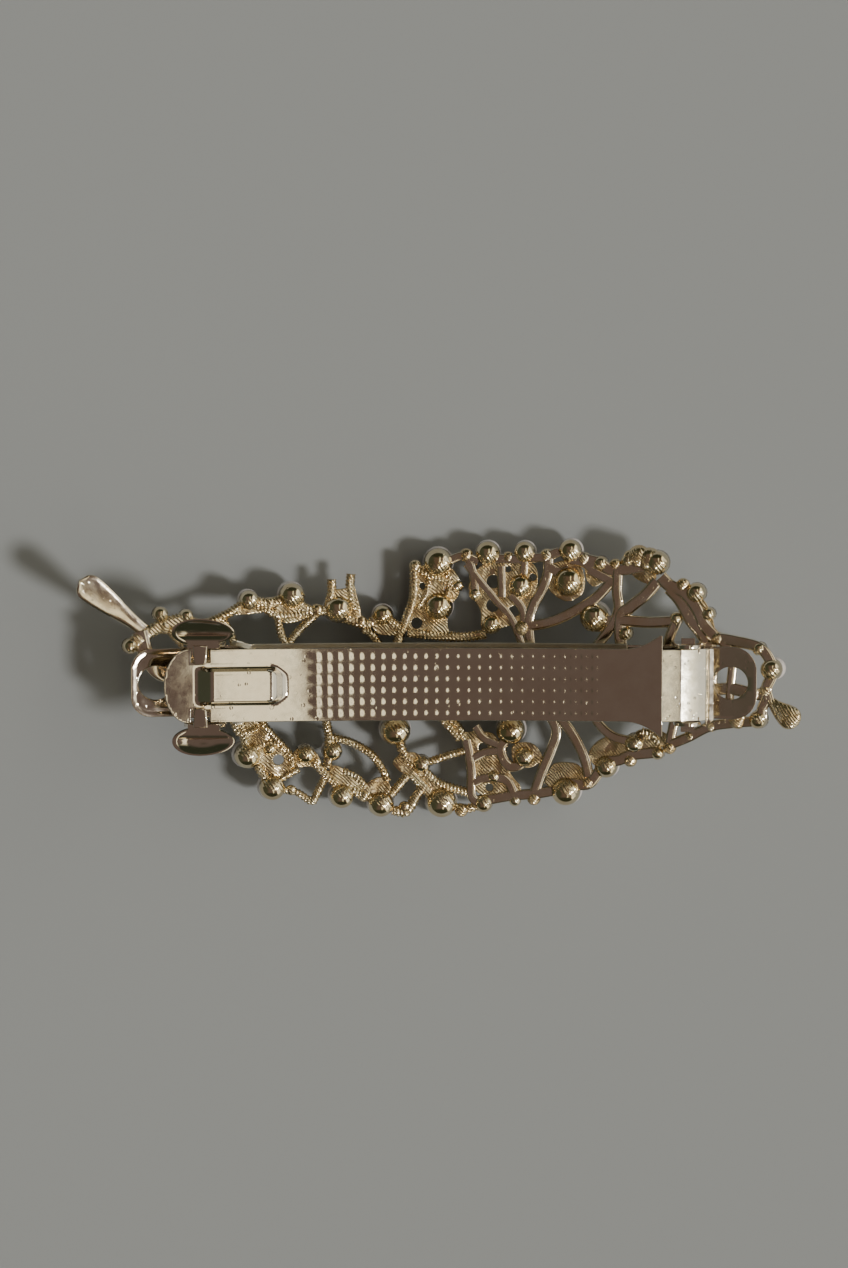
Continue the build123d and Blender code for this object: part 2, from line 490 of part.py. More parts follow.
def make_leaf_and_stones():
    stones = {}
    seeds = []
    cups = []
    pockets = []
    discs = Sketch()
    groups = (
        ("pearl_edge", EDGE_PEARLS, pearl, True),
        ("pearl_inner", INNER_PEARLS, pearl, True),
        ("pearl_vein", VEIN_PEARLS, pearl, False),
        ("crystal", CRYSTALS, crystal, True),
        ("crystal_seed", SEED_CRYSTALS, crystal, True),
    )
    for name, places, shape, domed in groups:
        for number, (x, y, r) in enumerate(places, 1):
            stone, floor = shape(r)
            place = on_arch(x, y, FRONT_R + CUP_LIP)
            if name == "crystal_seed":
                seeds.append(place * stone)
            else:
                stones[f"{name}_{number:02d}"] = place * stone
            pocket_r = POCKET * r
            pockets.append(place * Pos(0, 0, floor / 2 - 1) * Cylinder(pocket_r, floor + 2))
            discs += Pos(x, y) * Circle(0.85 * r)
            cups.append(place * (domed_cup(r) if domed else flat_cup(r)))
    web = discs + [rib(points, width) for width, points in RIBS]
    web += [pierced_sheet(points, holes) for points, holes in WEBS]
    web += Pos(*BUD_TIP) * Circle(BUD_R)
    web += rib([BUD_ROOT, BUD_TIP], 1.6)
    leaf = bent_sheet(web, WEB_R, FRONT_R, ARCH_Z)
    leaf = leaf + cups
    leaf += make_stem()
    leaf = leaf - pockets
    stones["crystal_seeds"] = Compound(children=seeds)
    return leaf, stones


def make_stem():
    """The leaf's stalk: a flat tapered paddle with a round tip."""
    rx, ry = STEM_ROOT
    tx, ty = STEM_TIP
    length = hypot(tx - rx, ty - ry)
    nx, ny = -(ty - ry) / length, (tx - rx) / length
    outline = make_face(Polyline(
        (rx + 0.9 * nx, ry + 0.9 * ny), (tx + 1.5 * nx, ty + 1.5 * ny),
        (tx - 1.5 * nx, ty - 1.5 * ny), (rx - 0.9 * nx, ry - 0.9 * ny), close=True
    ))
    outline += Pos(tx, ty) * Circle(1.5)
    return bent_sheet(outline, WEB_R + 0.1, FRONT_R - 0.3, ARCH_Z)


# ---- Write the parts -------------------------------------------------------------------------------

leaf_frame, all_stones = make_leaf_and_stones()
parts = {
    "base_plate": make_base_plate(),
    "clasp_arm": make_clasp_arm(),
    "tension_spring": make_tension_spring(),
    "latch_ear_upper": make_latch_ear(1),
    "latch_ear_lower": make_latch_ear(-1),
    "solder_left": solder_pad(-33.0, -26.0),
    "solder_middle": solder_pad(-4.0, 4.0),
    "solder_right": solder_pad(26.0, 33.0),
    "leaf_frame": leaf_frame,
}
parts.update(all_stones)
for node, shape in parts.items():
    export_step(shape, f"parts/{node}.step")
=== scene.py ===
"""Looks of the leaf barrette: stamped spring clip on a cast openwork leaf set with pearls and crystals.

Shapes are worked out in millimetres in the frame's own axes and turned into metres when a mesh is made.
"""

import bpy
import bmesh
import json
import math
from mathutils import Matrix, Vector


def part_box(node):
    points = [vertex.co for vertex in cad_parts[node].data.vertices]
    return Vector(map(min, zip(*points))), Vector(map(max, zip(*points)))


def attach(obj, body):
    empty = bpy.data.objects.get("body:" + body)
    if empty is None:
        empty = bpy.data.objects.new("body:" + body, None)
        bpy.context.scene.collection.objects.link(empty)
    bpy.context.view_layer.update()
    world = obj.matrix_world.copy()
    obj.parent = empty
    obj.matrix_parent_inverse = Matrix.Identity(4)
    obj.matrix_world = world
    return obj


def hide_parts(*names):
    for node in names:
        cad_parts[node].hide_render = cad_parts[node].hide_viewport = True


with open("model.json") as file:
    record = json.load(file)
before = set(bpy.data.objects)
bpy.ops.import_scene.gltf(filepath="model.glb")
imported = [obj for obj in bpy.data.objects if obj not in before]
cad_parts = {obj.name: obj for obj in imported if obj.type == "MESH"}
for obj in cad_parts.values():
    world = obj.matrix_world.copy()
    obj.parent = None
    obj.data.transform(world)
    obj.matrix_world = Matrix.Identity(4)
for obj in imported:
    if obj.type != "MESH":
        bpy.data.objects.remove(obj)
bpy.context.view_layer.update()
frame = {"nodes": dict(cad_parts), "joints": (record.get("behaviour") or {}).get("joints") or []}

MM = 0.001


def node_box(node):
    """A CAD node's corners in millimetres."""
    low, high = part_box(node)
    return low / MM, high / MM


# ---- Sizes shared with the CAD model, in millimetres ----

ARCH_R = 130.0          # bend of the clip's plate and the leaf
PLATE_T = 0.5
SOLDER_T = 0.15
WEB_T = 1.2             # thickness of the leaf's ribs
ARM_R = 180.0           # bend of the arm
ARM_T = 0.6
CUP_LIP = 0.12          # how far a cup's rim stands out of the leaf's front
POCKET = 0.80           # a pocket's radius and a pearl's, for a cup of radius 1
PEARL = 1.08
SEAT_GAP = 0.03

plate_low, plate_high = node_box("base_plate")
arm_low = node_box("clasp_arm")[0]
spring_low = node_box("tension_spring")[0]

ARCH_Z = plate_low.z + ARCH_R
ARM_Z = arm_low.z + ARM_R
WEB_R = ARCH_R + SOLDER_T
FRONT_R = WEB_R + WEB_T
PLATE_TOP_R = ARCH_R - PLATE_T
HALF_W = 4.65           # half the width of the clip's plate and arm
joints = {j["name"]: j for j in frame["joints"]}
HINGE = Vector(joints["arm_hinge"]["pos_m"]) / MM
SPRING_PIVOT = Vector(joints["spring_lift"]["pos_m"]) / MM


def arch_z(x, radius):
    return ARCH_Z - math.sqrt(radius * radius - x * x)


def arm_z(x, h=0.0):
    """Height of the surface that lies h above the arm's underside."""
    return ARM_Z - math.sqrt((ARM_R - h) ** 2 - x * x)


def on_arch(x, y, radius):
    """Matrix of a place on the bend, with its own Z towards the bend's axis."""
    return Matrix.Translation((x, y, arch_z(x, radius))) @ Matrix.Rotation(-math.asin(x / radius), 4, "Y")


def smoothstep(a, b, t):
    """0 at a, 1 at b, smooth between, whichever of the two is larger."""
    t = min(max((t - a) / (b - a), 0.0), 1.0)
    return t * t * (3 - 2 * t)


# ---- Camera, light and floor ----

VIEW_TILT = math.radians(4.8)      # the camera leans this far towards +Y from straight above
VIEW_DISTANCE = 480.0
VIEW_HEIGHT = 163.0                 # what the picture covers from top to bottom at the object
VIEW_TARGET = Vector((-2.06, 6.06, 8.0))
SENSOR = 36.0
FLOOR_HALF_M = 1.2
FLOOR_GAP = 0.02                   # the floor lies this far below the lowest stone


def make_camera():
    data = bpy.data.cameras.new("camera")
    data.sensor_fit = "VERTICAL"
    data.sensor_height = SENSOR
    data.lens = SENSOR * VIEW_DISTANCE / VIEW_HEIGHT
    data.clip_start = 0.01
    data.clip_end = 10
    camera = bpy.data.objects.new("camera", data)
    back = Vector((0, math.sin(VIEW_TILT), math.cos(VIEW_TILT)))
    camera.location = (VIEW_TARGET + back * VIEW_DISTANCE) * MM
    camera.rotation_euler = (-VIEW_TILT, 0, 0)
    bpy.context.scene.collection.objects.link(camera)
    bpy.context.scene.camera = camera


def make_floor():
    bm = bmesh.new()
    bmesh.ops.create_grid(bm, x_segments=8, y_segments=8, size=FLOOR_HALF_M)
    mesh = bpy.data.meshes.new("floor")
    bm.to_mesh(mesh)
    bm.free()
    floor = bpy.data.objects.new("floor", mesh)
    floor.location = (0, 0, -FLOOR_GAP * MM)
    bpy.context.scene.collection.objects.link(floor)
    material = bpy.data.materials.new("pale_floor")
    material.use_nodes = True
    shader = material.node_tree.nodes["Principled BSDF"]
    shader.inputs["Base Color"].default_value = (0.372, 0.394, 0.408, 1)
    shader.inputs["Roughness"].default_value = 0.9
    shader.inputs["Specular IOR Level"].default_value = 0.2
    mesh.materials.append(material)


def add_node(tree, kind, **values):
    node = tree.nodes.new(kind)
    for key, value in values.items():
        setattr(node, key, value)
    return node


def math_node(tree, operation, a, b=None):
    node = add_node(tree, "ShaderNodeMath", operation=operation)
    tree.links.new(a, node.inputs[0])
    if b is not None:
        tree.links.new(b, node.inputs[1])
    return node.outputs[0]


def noise(tree, coord, scale, detail=3.0, rough=0.55):
    node = add_node(tree, "ShaderNodeTexNoise")
    node.inputs["Scale"].default_value = scale
    node.inputs["Detail"].default_value = detail
    node.inputs["Roughness"].default_value = rough
    tree.links.new(coord, node.inputs["Vector"])
    return node.outputs["Fac"]


def map_range(tree, source, a, b, low, high, interpolation="LINEAR"):
    node = add_node(tree, "ShaderNodeMapRange", interpolation_type=interpolation)
    node.inputs["From Min"].default_value = a
    node.inputs["From Max"].default_value = b
    node.inputs["To Min"].default_value = low
    node.inputs["To Max"].default_value = high
    tree.links.new(source, node.inputs["Value"])
    return node.outputs["Result"]


def ramp_between(tree, source, low, high):
    """0 below low, 1 above high, smooth between."""
    return map_range(tree, source, low, high, 0.0, 1.0, "SMOOTHSTEP")


def mix_colour(tree, factor, a, b):
    node = add_node(tree, "ShaderNodeMix", data_type="RGBA")
    tree.links.new(factor, node.inputs["Factor"])
    for name, value in (("A", a), ("B", b)):
        socket = [s for s in node.inputs if s.name == name and s.type == "RGBA"][0]
        if isinstance(value, tuple):
            socket.default_value = (*value, 1)
        else:
            tree.links.new(value, socket)
    return [s for s in node.outputs if s.type == "RGBA"][0]


def make_studio():
    """A soft room seen in the metal: brown overhead, a cream card just right of overhead, a bright right
    side, and darker walls on the other sides."""
    world = bpy.data.worlds.new("studio")
    bpy.context.scene.world = world
    world.use_nodes = True
    tree = world.node_tree
    tree.nodes.clear()
    coord = add_node(tree, "ShaderNodeTexCoord")
    split = add_node(tree, "ShaderNodeSeparateXYZ")
    tree.links.new(coord.outputs["Generated"], split.inputs["Vector"])
    wobble = map_range(tree, noise(tree, coord.outputs["Generated"], 9.0, 2.0), 0.3, 0.7, -0.028, 0.028)
    x = math_node(tree, "ADD", split.outputs["X"], wobble)
    y = math_node(tree, "ABSOLUTE", split.outputs["Y"])
    left = ramp_between(tree, split.outputs["X"], -0.75, -0.30)
    colour = mix_colour(tree, left, (0.060, 0.066, 0.045), (0.135, 0.100, 0.086))
    rising = ramp_between(tree, x, 0.140, 0.152)
    falling = ramp_between(tree, x, 0.262, 0.275)
    colour = mix_colour(tree, math_node(tree, "SUBTRACT", rising, falling), colour, (1.50, 1.38, 1.02))
    colour = mix_colour(tree, ramp_between(tree, y, 0.62, 0.80), colour, (0.034, 0.038, 0.024))
    right = ramp_between(tree, split.outputs["X"], 0.57, 0.68)
    colour = mix_colour(tree, right, colour, (1.62, 1.54, 1.24))
    far = ramp_between(tree, split.outputs["X"], 0.72, 0.86)
    colour = mix_colour(tree, far, colour, (1.02, 1.00, 0.90))
    ground = ramp_between(tree, split.outputs["Z"], -0.05, 0.10)
    colour = mix_colour(tree, ground, (0.25, 0.25, 0.24), colour)
    background = add_node(tree, "ShaderNodeBackground")
    tree.links.new(colour, background.inputs["Color"])
    output = add_node(tree, "ShaderNodeOutputWorld")
    tree.links.new(background.outputs[0], output.inputs["Surface"])


def make_key_light():
    data = bpy.data.lights.new("key", "SUN")
    data.energy = 1.75
    data.angle = math.radians(9)
    data.color = (1.0, 0.97, 0.92)
    light = bpy.data.objects.new("key", data)
    towards = Vector((-0.62, 0.22, -0.80))
    light.rotation_euler = towards.to_track_quat("-Z", "Y").to_euler()
    bpy.context.scene.collection.objects.link(light)


make_camera()
make_floor()
make_studio()
make_key_light()

# ---- Materials ----


def new_material(name):
    material = bpy.data.materials.new(name)
    material.use_nodes = True
    tree = material.node_tree
    shader = tree.nodes["Principled BSDF"]
    coord = add_node(tree, "ShaderNodeTexCoord").outputs["Object"]
    return material, tree, shader, coord


def bump_node(tree, height, distance, below=None):
    node = add_node(tree, "ShaderNodeBump")
    node.inputs["Strength"].default_value = 1.0
    node.inputs["Distance"].default_value = distance * MM
    tree.links.new(height, node.inputs["Height"])
    if below is not None:
        tree.links.new(below, node.inputs["Normal"])
    return node.outputs["Normal"]


def gold(name, bright, deep, rough, grain, pits, lines=0.0):
    """Plated metal: the colour drifts between two golds and the roughness between its two values.

    Grain and pits are each a scale and a depth. Lines is the depth of the casting's slanting tool marks."""
    material, tree, shader, coord = new_material(name)
    shader.inputs["Metallic"].default_value = 1.0
    drift = noise(tree, coord, 420.0, 4.0)
    factor = map_range(tree, drift, 0.35, 0.65, 0.0, 1.0)
    tree.links.new(mix_colour(tree, factor, bright, deep), shader.inputs["Base Color"])
    smear = noise(tree, coord, 900.0, 5.0, 0.65)
    tree.links.new(map_range(tree, smear, 0.35, 0.7, *rough), shader.inputs["Roughness"])
    normal = bump_node(tree, noise(tree, coord, 160.0, 1.0), 0.035)
    normal = bump_node(tree, noise(tree, coord, grain[0], 4.0, 0.6), grain[1], normal)
    cells = add_node(tree, "ShaderNodeTexVoronoi")
    cells.inputs["Scale"].default_value = pits[0]
    tree.links.new(coord, cells.inputs["Vector"])
    dent = map_range(tree, cells.outputs["Distance"], 0.10, 0.24, 0.0, 1.0)
    sparse = map_range(tree, noise(tree, coord, 260.0, 2.0), 0.50, 0.60, 1.0, 0.0)
    normal = bump_node(tree, math_node(tree, "MAXIMUM", dent, sparse), pits[1], normal)
    if lines:
        wave = add_node(tree, "ShaderNodeTexWave", bands_direction="DIAGONAL")
        wave.inputs["Scale"].default_value = 1350.0
        wave.inputs["Distortion"].default_value = 2.5
        wave.inputs["Detail"].default_value = 1.0
        wave.inputs["Detail Scale"].default_value = 0.6
        tree.links.new(coord, wave.inputs["Vector"])
        patches = map_range(tree, noise(tree, coord, 330.0, 2.0), 0.34, 0.48, 0.0, 1.0)
        normal = bump_node(tree, math_node(tree, "MULTIPLY", wave.outputs["Fac"], patches), lines, normal)
    tree.links.new(normal, shader.inputs["Normal"])
    return material


def pearl_material():
    material, tree, shader, coord = new_material("pearl_lustre")
    layer = add_node(tree, "ShaderNodeLayerWeight")
    layer.inputs["Blend"].default_value = 0.35
    drift = noise(tree, coord, 300.0, 3.0)
    body = mix_colour(tree, map_range(tree, drift, 0.35, 0.65, 0, 1), (0.88, 0.84, 0.77), (0.92, 0.90, 0.87))
    colour = mix_colour(tree, layer.outputs["Facing"], body, (0.74, 0.66, 0.68))
    tree.links.new(colour, shader.inputs["Base Color"])
    shader.inputs["Roughness"].default_value = 0.22
    shader.inputs["Coat Weight"].default_value = 0.8
    shader.inputs["Coat Roughness"].default_value = 0.05
    shader.inputs["Metallic"].default_value = 0.15
    tree.links.new(bump_node(tree, noise(tree, coord, 2500.0, 3.0), 0.004), shader.inputs["Normal"])
    return material


def crystal_material():
    material, tree, shader, coord = new_material("cut_glass")
    drift = noise(tree, coord, 500.0, 2.0)
    tree.links.new(
        mix_colour(tree, map_range(tree, drift, 0.3, 0.7, 0, 1), (0.93, 0.95, 0.97), (0.99, 0.98, 0.95)),
        shader.inputs["Base Color"],
    )
    shader.inputs["Roughness"].default_value = 0.02
    shader.inputs["IOR"].default_value = 1.55
    shader.inputs["Transmission Weight"].default_value = 0.85
    return material


CLIP_GOLD = gold(
    "champagne_gold", (0.80, 0.74, 0.62), (0.76, 0.68, 0.56), (0.05, 0.12), (2600.0, 0.0010), (900.0, 0.012))
KNUCKLE_GOLD = gold(
    "pitted_gold", (0.82, 0.77, 0.66), (0.76, 0.70, 0.57), (0.10, 0.22), (2200.0, 0.005), (1300.0, 0.05))
LEAF_GOLD = gold(
    "cast_gold", (0.84, 0.74, 0.52), (0.74, 0.56, 0.31), (0.10, 0.26), (3200.0, 0.010), (1500.0, 0.03), 0.07)
CUP_GOLD = gold(
    "polished_cup_gold",
    (0.84, 0.75, 0.54), (0.76, 0.62, 0.38), (0.06, 0.18), (3200.0, 0.003), (1500.0, 0.02))
RIB_GOLD = gold(
    "polished_rib_gold",
    (0.80, 0.73, 0.60), (0.76, 0.64, 0.46), (0.08, 0.20), (3200.0, 0.003), (1500.0, 0.02))
WALL_SATIN = gold(
    "satin_gold", (0.82, 0.80, 0.73), (0.74, 0.71, 0.62), (0.36, 0.5), (2600.0, 0.004), (900.0, 0.012))
SPRING_GOLD = gold(
    "spring_gold", (0.74, 0.65, 0.50), (0.66, 0.56, 0.42), (0.18, 0.32), (3000.0, 0.004), (900.0, 0.01))
SOLDER = gold(
    "solder_grey", (0.60, 0.57, 0.50), (0.48, 0.45, 0.40), (0.35, 0.6), (1800.0, 0.03), (700.0, 0.05))
PEARL_WHITE = pearl_material()
CUT_GLASS = crystal_material()

# ---- Mesh helpers ----


def finish_mesh(name, bm, material, angle=32.0, weighted=False):
    """A mesh object from millimetre geometry, smooth except along edges sharper than the angle."""
    bmesh.ops.scale(bm, vec=(MM, MM, MM), verts=bm.verts)
    bmesh.ops.recalc_face_normals(bm, faces=bm.faces)
    mesh = bpy.data.meshes.new(name)
    bm.to_mesh(mesh)
    bm.free()
    mesh.polygons.foreach_set("use_smooth", [True] * len(mesh.polygons))
    mesh.set_sharp_from_angle(angle=math.radians(angle))
    mesh.materials.append(material)
    piece = bpy.data.objects.new(name, mesh)
    bpy.context.scene.collection.objects.link(piece)
    if weighted:
        modifier = piece.modifiers.new("weighted", "WEIGHTED_NORMAL")
        modifier.keep_sharp = True
        modifier.weight = 80
    return piece


def place(piece, body, slot, *nodes):
    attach(piece, body)
    if nodes:
        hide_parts(*nodes)
    return piece


def arc(cx, cy, r, a0, a1, steps, ry=None):
    """Points round an arc, angles in degrees."""
    ry = r if ry is None else ry
    points = []
    for i in range(steps + 1):
        a = math.radians(a0 + (a1 - a0) * i / steps)
        points.append((cx + r * math.cos(a), cy + ry * math.sin(a)))
    return points


def plate_from_outline(outline, holes, thickness, edge, rounds=2):
    """A flat plate with rounded edges as a bmesh, its underside at z = 0."""
    data = bpy.data.curves.new("outline", "CURVE")
    data.dimensions = "2D"
    data.fill_mode = "BOTH"
    data.extrude = thickness / 2 - edge
    data.bevel_depth = edge
    data.bevel_resolution = rounds
    data.offset = -edge
    for ring in [outline] + holes:
        spline = data.splines.new("POLY")
        spline.points.add(len(ring) - 1)
        for point, (x, y) in zip(spline.points, ring):
            point.co = (x, y, 0, 1)
        spline.use_cyclic_u = True
    holder = bpy.data.objects.new("outline", data)
    bpy.context.scene.collection.objects.link(holder)
    bpy.context.view_layer.update()
    mesh = bpy.data.meshes.new_from_object(holder.evaluated_get(bpy.context.evaluated_depsgraph_get()))
    bm = bmesh.new()
    bm.from_mesh(mesh)
    bpy.data.objects.remove(holder)
    bpy.data.curves.remove(data)
    bpy.data.meshes.remove(mesh)
    bmesh.ops.remove_doubles(bm, verts=bm.verts, dist=0.002)
    bmesh.ops.dissolve_limit(bm, angle_limit=math.radians(0.05), verts=bm.verts, edges=bm.edges)
    bmesh.ops.translate(bm, vec=(0, 0, thickness / 2), verts=bm.verts)
    return bm


def slice_mesh(bm, axis, start, stop, step):
    """Cuts the mesh at even steps along an axis, so that it can bend smoothly there."""
    count = max(1, round((stop - start) / step))
    normal = Vector((0, 0, 0))
    normal[axis] = 1
    for i in range(count + 1):
        point = Vector((0, 0, 0))
        point[axis] = start + (stop - start) * i / count
        geometry = bm.verts[:] + bm.edges[:] + bm.faces[:]
        bmesh.ops.bisect_plane(bm, geom=geometry, dist=1e-4, plane_co=point, plane_no=normal)


def stand_up(bm, y0):
    """Turns a plate drawn in XZ (as XY) so that it stands, its thickness running from y0 towards +Y."""
    for v in bm.verts:
        x, z, depth = v.co
        v.co = (x, y0 + depth, z)


def smooth_path(points, step):
    """A Catmull-Rom line through plan points, sampled evenly."""
    p = [Vector(q) for q in points]
    if len(p) == 2:
        p = [p[0], (p[0] + p[1]) / 2, p[1]]
    p = [2 * p[0] - p[1]] + p + [2 * p[-1] - p[-2]]
    dense = []
    for i in range(1, len(p) - 2):
        a, b, c, d = p[i - 1:i + 3]
        n = max(4, int((c - b).length / step * 2))
        for k in range(n):
            t = k / n
            dense.append(
                0.5 * (2 * b + (c - a) * t + (2 * a - 5 * b + 4 * c - d) * t * t
                       + (3 * b - a - 3 * c + d) * t ** 3)
            )
    dense.append(p[-2])
    out = [dense[0]]
    travelled = 0.0
    for a, b in zip(dense, dense[1:]):
        travelled += (b - a).length
        if travelled >= step:
            out.append(b)
            travelled = 0.0
    out[-1] = dense[-1]
    return out


def join_rings(bm, a, b):
    """Faces between two rings of vertices, either of which may be a single point."""
    count = max(len(a), len(b))
    for k in range(count):
        n = (k + 1) % count
        if len(a) == 1:
            bm.faces.new((a[0], b[n], b[k]))
        elif len(b) == 1:
            bm.faces.new((a[k], a[n], b[0]))
        else:
            bm.faces.new((a[k], a[n], b[n], b[k]))


def sweep(bm, path, section):
    """Sweeps section(travelled, total), a list of (side, up), along 3-D path points; up is near +Z."""
    rings = []
    total = sum((b - a).length for a, b in zip(path, path[1:]))
    travelled = 0.0
    for i, point in enumerate(path):
        ahead = path[min(i + 1, len(path) - 1)]
        behind = path[max(i - 1, 0)]
        if i:
            travelled += (point - path[i - 1]).length
        forward = (ahead - behind).normalized()
        side = Vector((0, 0, 1)).cross(forward).normalized()
        up = forward.cross(side)
        ring = [bm.verts.new(point + side * s + up * u) for s, u in section(travelled, total)]
        rings.append(ring)
    for a, b in zip(rings, rings[1:]):
        join_rings(bm, a, b)
    bm.faces.new(rings[0])
    bm.faces.new(rings[-1][::-1])


def lathe(bm, matrix, profile, steps, shape=None):
    """Turns a profile of (radius, height) about the matrix's Z. It starts and ends on the axis."""
    rings = []
    for r, w in profile:
        if r < 1e-6:
            rings.append([bm.verts.new(matrix @ Vector((0, 0, w)))])
            continue
        ring = []
        for k in range(steps):
            a = 2 * math.pi * k / steps
            rr, ww = (r, w) if shape is None else shape(r, w, a)
            ring.append(bm.verts.new(matrix @ Vector((rr * math.cos(a), rr * math.sin(a), ww))))
        rings.append(ring)
    for a, b in zip(rings, rings[1:]):
        join_rings(bm, a, b)


# ---- The clip ----

NOSE_ROOT = -32.0
NOSE_LEN = 3.0
FLARE_START = 23.5
SHOULDER_X = 28.2
SHOULDER_HALF = 6.4
NOTCH = (-31.6, -29.2)
NOTCH_FLOOR = 3.0
BUMP_ROWS = 6
BUMP_COLUMNS = 27
BUMP_X0 = -15.6
BUMP_PITCH_X = 1.36
BUMP_PITCH_Y = 1.45
EMBOSS_H = 1.45

CHANNEL_LEFT = -33.0    # where the full-width strip of the plate gives way to the catch-end tab
TAB_HALF = 4.4
TAB_ROUND = 2.6         # corner radii of the two tabs
END_ROUND = 3.0
LEFT_HOLE_X, LEFT_HOLE_R = -36.4, 2.15
RIGHT_HOLE_X, RIGHT_HOLE_R = 37.2, 2.1
EAR_R = 1.7
EAR_T = 0.5
EAR_Y = 4.95            # middle of a hinge ear's thickness
HINGE_HOLE_R = 0.95
LUG_R = 0.88
SHEET_T = 0.5           # thickness of the walls, hood and latch ears
CORE_H = 0.4            # middle of a side wall's height over the plate

SPRING_HALF = 2.8
SPRING_T = 0.35
SPRING_ROUND = 1.2
ROLL_R = 0.4

LATCH_X = -30.0
LATCH_Y = 5.05          # middle of a latch ear's thickness
LATCH_HALF = 2.5
PAD_Y = 7.0
PAD_HALF_L = 4.0
PAD_HALF_W = 1.9
PAD_TILT = 22.0
PAD_RINGS = 12
PAD_STEPS = 64


def arm_plan():
    """The arm's outline, going round from the upper flare."""
    upper = [(FLARE_START, HALF_W)]
    upper += [(NOTCH[1], HALF_W), (NOTCH[1], NOTCH_FLOOR), (NOTCH[0], NOTCH_FLOOR), (NOTCH[0], HALF_W)]
    nose = arc(NOSE_ROOT, 0, NOSE_LEN, 90, 270, 40, HALF_W)
    lower = [(x, -y) for x, y in reversed(upper)]
    flare = []
    for i in range(1, 15):
        t = i / 14
        x = FLARE_START + (SHOULDER_X - 0.35 - FLARE_START) * t
        flare.append((x, -HALF_W - (SHOULDER_HALF - HALF_W) * t ** 1.9))
    end = [(SHOULDER_X, -SHOULDER_HALF), (SHOULDER_X, SHOULDER_HALF)]
    back = [(x, -y) for x, y in reversed(flare)]
    return upper + nose + lower + flare + end + back


def emboss(x, y):
    """Height of the raised strip behind the nose: steep ends and sides, flat top."""
    along = smoothstep(-31.1, -28.7, x) * (1 - smoothstep(-21.4, -19.4, x))
    narrow = 2.55 - 0.9 * smoothstep(-21.6, -19.4, x)
    across = 1 - smoothstep(narrow - 0.75, narrow, abs(y))
    return EMBOSS_H * along * across


def waffle(x, y):
    """Height of the small pressed bumps."""
    u = (x - BUMP_X0) / BUMP_PITCH_X
    v = y / BUMP_PITCH_Y + (BUMP_ROWS - 1) / 2
    i, j = round(u), round(v)
    if not (0 <= i < BUMP_COLUMNS and 0 <= j < BUMP_ROWS):
        return 0.0
    du, dv = (u - i) * 2.05 + 0.3, (v - j) * 2.15
    d = math.hypot(du / (1.3 if du > 0 else 0.7), dv)
    height = 0.048 + 0.075 * (x - BUMP_X0) / 36
    return height * 0.5 * (1 + math.cos(math.pi * min(d, 1.0)))


def make_arm():
    """The arm's blade, sliced finely where it is embossed, pressed or flared, then bent."""
    bm = plate_from_outline(arm_plan(), [], ARM_T, 0.10)
    slice_mesh(bm, 0, -34.8, -17.0, 0.26)
    slice_mesh(bm, 0, BUMP_X0 - 0.68, BUMP_X0 + BUMP_PITCH_X * (BUMP_COLUMNS - 0.5), BUMP_PITCH_X / 6)
    slice_mesh(bm, 0, 21.4, 28.0, 0.5)
    slice_mesh(bm, 1, -BUMP_PITCH_Y * 3, BUMP_PITCH_Y * 3, BUMP_PITCH_Y / 6)
    for v in bm.verts:
        x, y, h = v.co
        lift = emboss(x, y)
        if h > ARM_T - 0.02:
            lift += waffle(x, y)
        v.co.z = arm_z(x, h) + lift
    place(finish_mesh("clasp_arm_blade", bm, CLIP_GOLD, 40, True), "arm", "clip_gold", "clasp_arm")


def make_knuckle():
    """The hood that curls down over the hinge, its two cheeks and the lugs that turn in the ears."""
    x, z = HINGE.x, HINGE.z
    start = SHOULDER_X - 0.5
    first = arm_z(start, ARM_T) - 0.01
    outer = [(start, first), (start + 0.5, first + 0.02), (x - 1.1, first - 0.17), (x - 0.8, first - 0.24)]
    outer += [(x + 0.3, first - 0.62), (x + 1.3, first - 1.04), (x + 2.1, first - 1.5)]
    outer += [(x + 2.55, first - 1.92), (x + 2.8, first - 2.4), (x + 2.85, z - 0.9)]
    inner = []
    for i in range(len(outer)):
        ax, az = outer[max(i - 1, 0)]
        bx, bz = outer[min(i + 1, len(outer) - 1)]
        length = math.hypot(bx - ax, bz - az)
        inner.append(
            (outer[i][0] + (bz - az) / length * SHEET_T, outer[i][1] - (bx - ax) / length * SHEET_T)
        )
    bm = plate_from_outline(outer + inner[::-1], [], 9.2, 0.12)
    stand_up(bm, -4.6)
    hood = finish_mesh("clasp_arm_hood", bm, KNUCKLE_GOLD, 40, True)
    place(hood, "arm", "clip_gold")
    cheek = [
        (x - 1.5, z - 0.6), (x - 0.9, z - 1.1), (x + 1.2, z - 1.1), (x + 1.9, z - 0.4),
        (x + 1.4, z + 0.2), (x - 1.1, z + 0.7), (x - 1.5, z + 0.7),
    ]
    lug = arc(x, z, LUG_R, -16.5, 16.5, 5) + arc(x, z, LUG_R, 163.5, 196.5, 5)
    for side, label in ((1, "upper"), (-1, "lower")):
        bm = plate_from_outline(cheek, [], 0.6, 0.08)
        stand_up(bm, side * 4.3 - 0.3)
        place(finish_mesh(f"clasp_arm_cheek_{label}", bm, CLIP_GOLD), "arm", "clip_gold")
        bm = plate_from_outline(lug, [], 1.8, 0.06)
        stand_up(bm, side * 5.1 - 0.9)
        place(finish_mesh(f"hinge_lug_{label}", bm, CLIP_GOLD), "arm", "clip_gold")


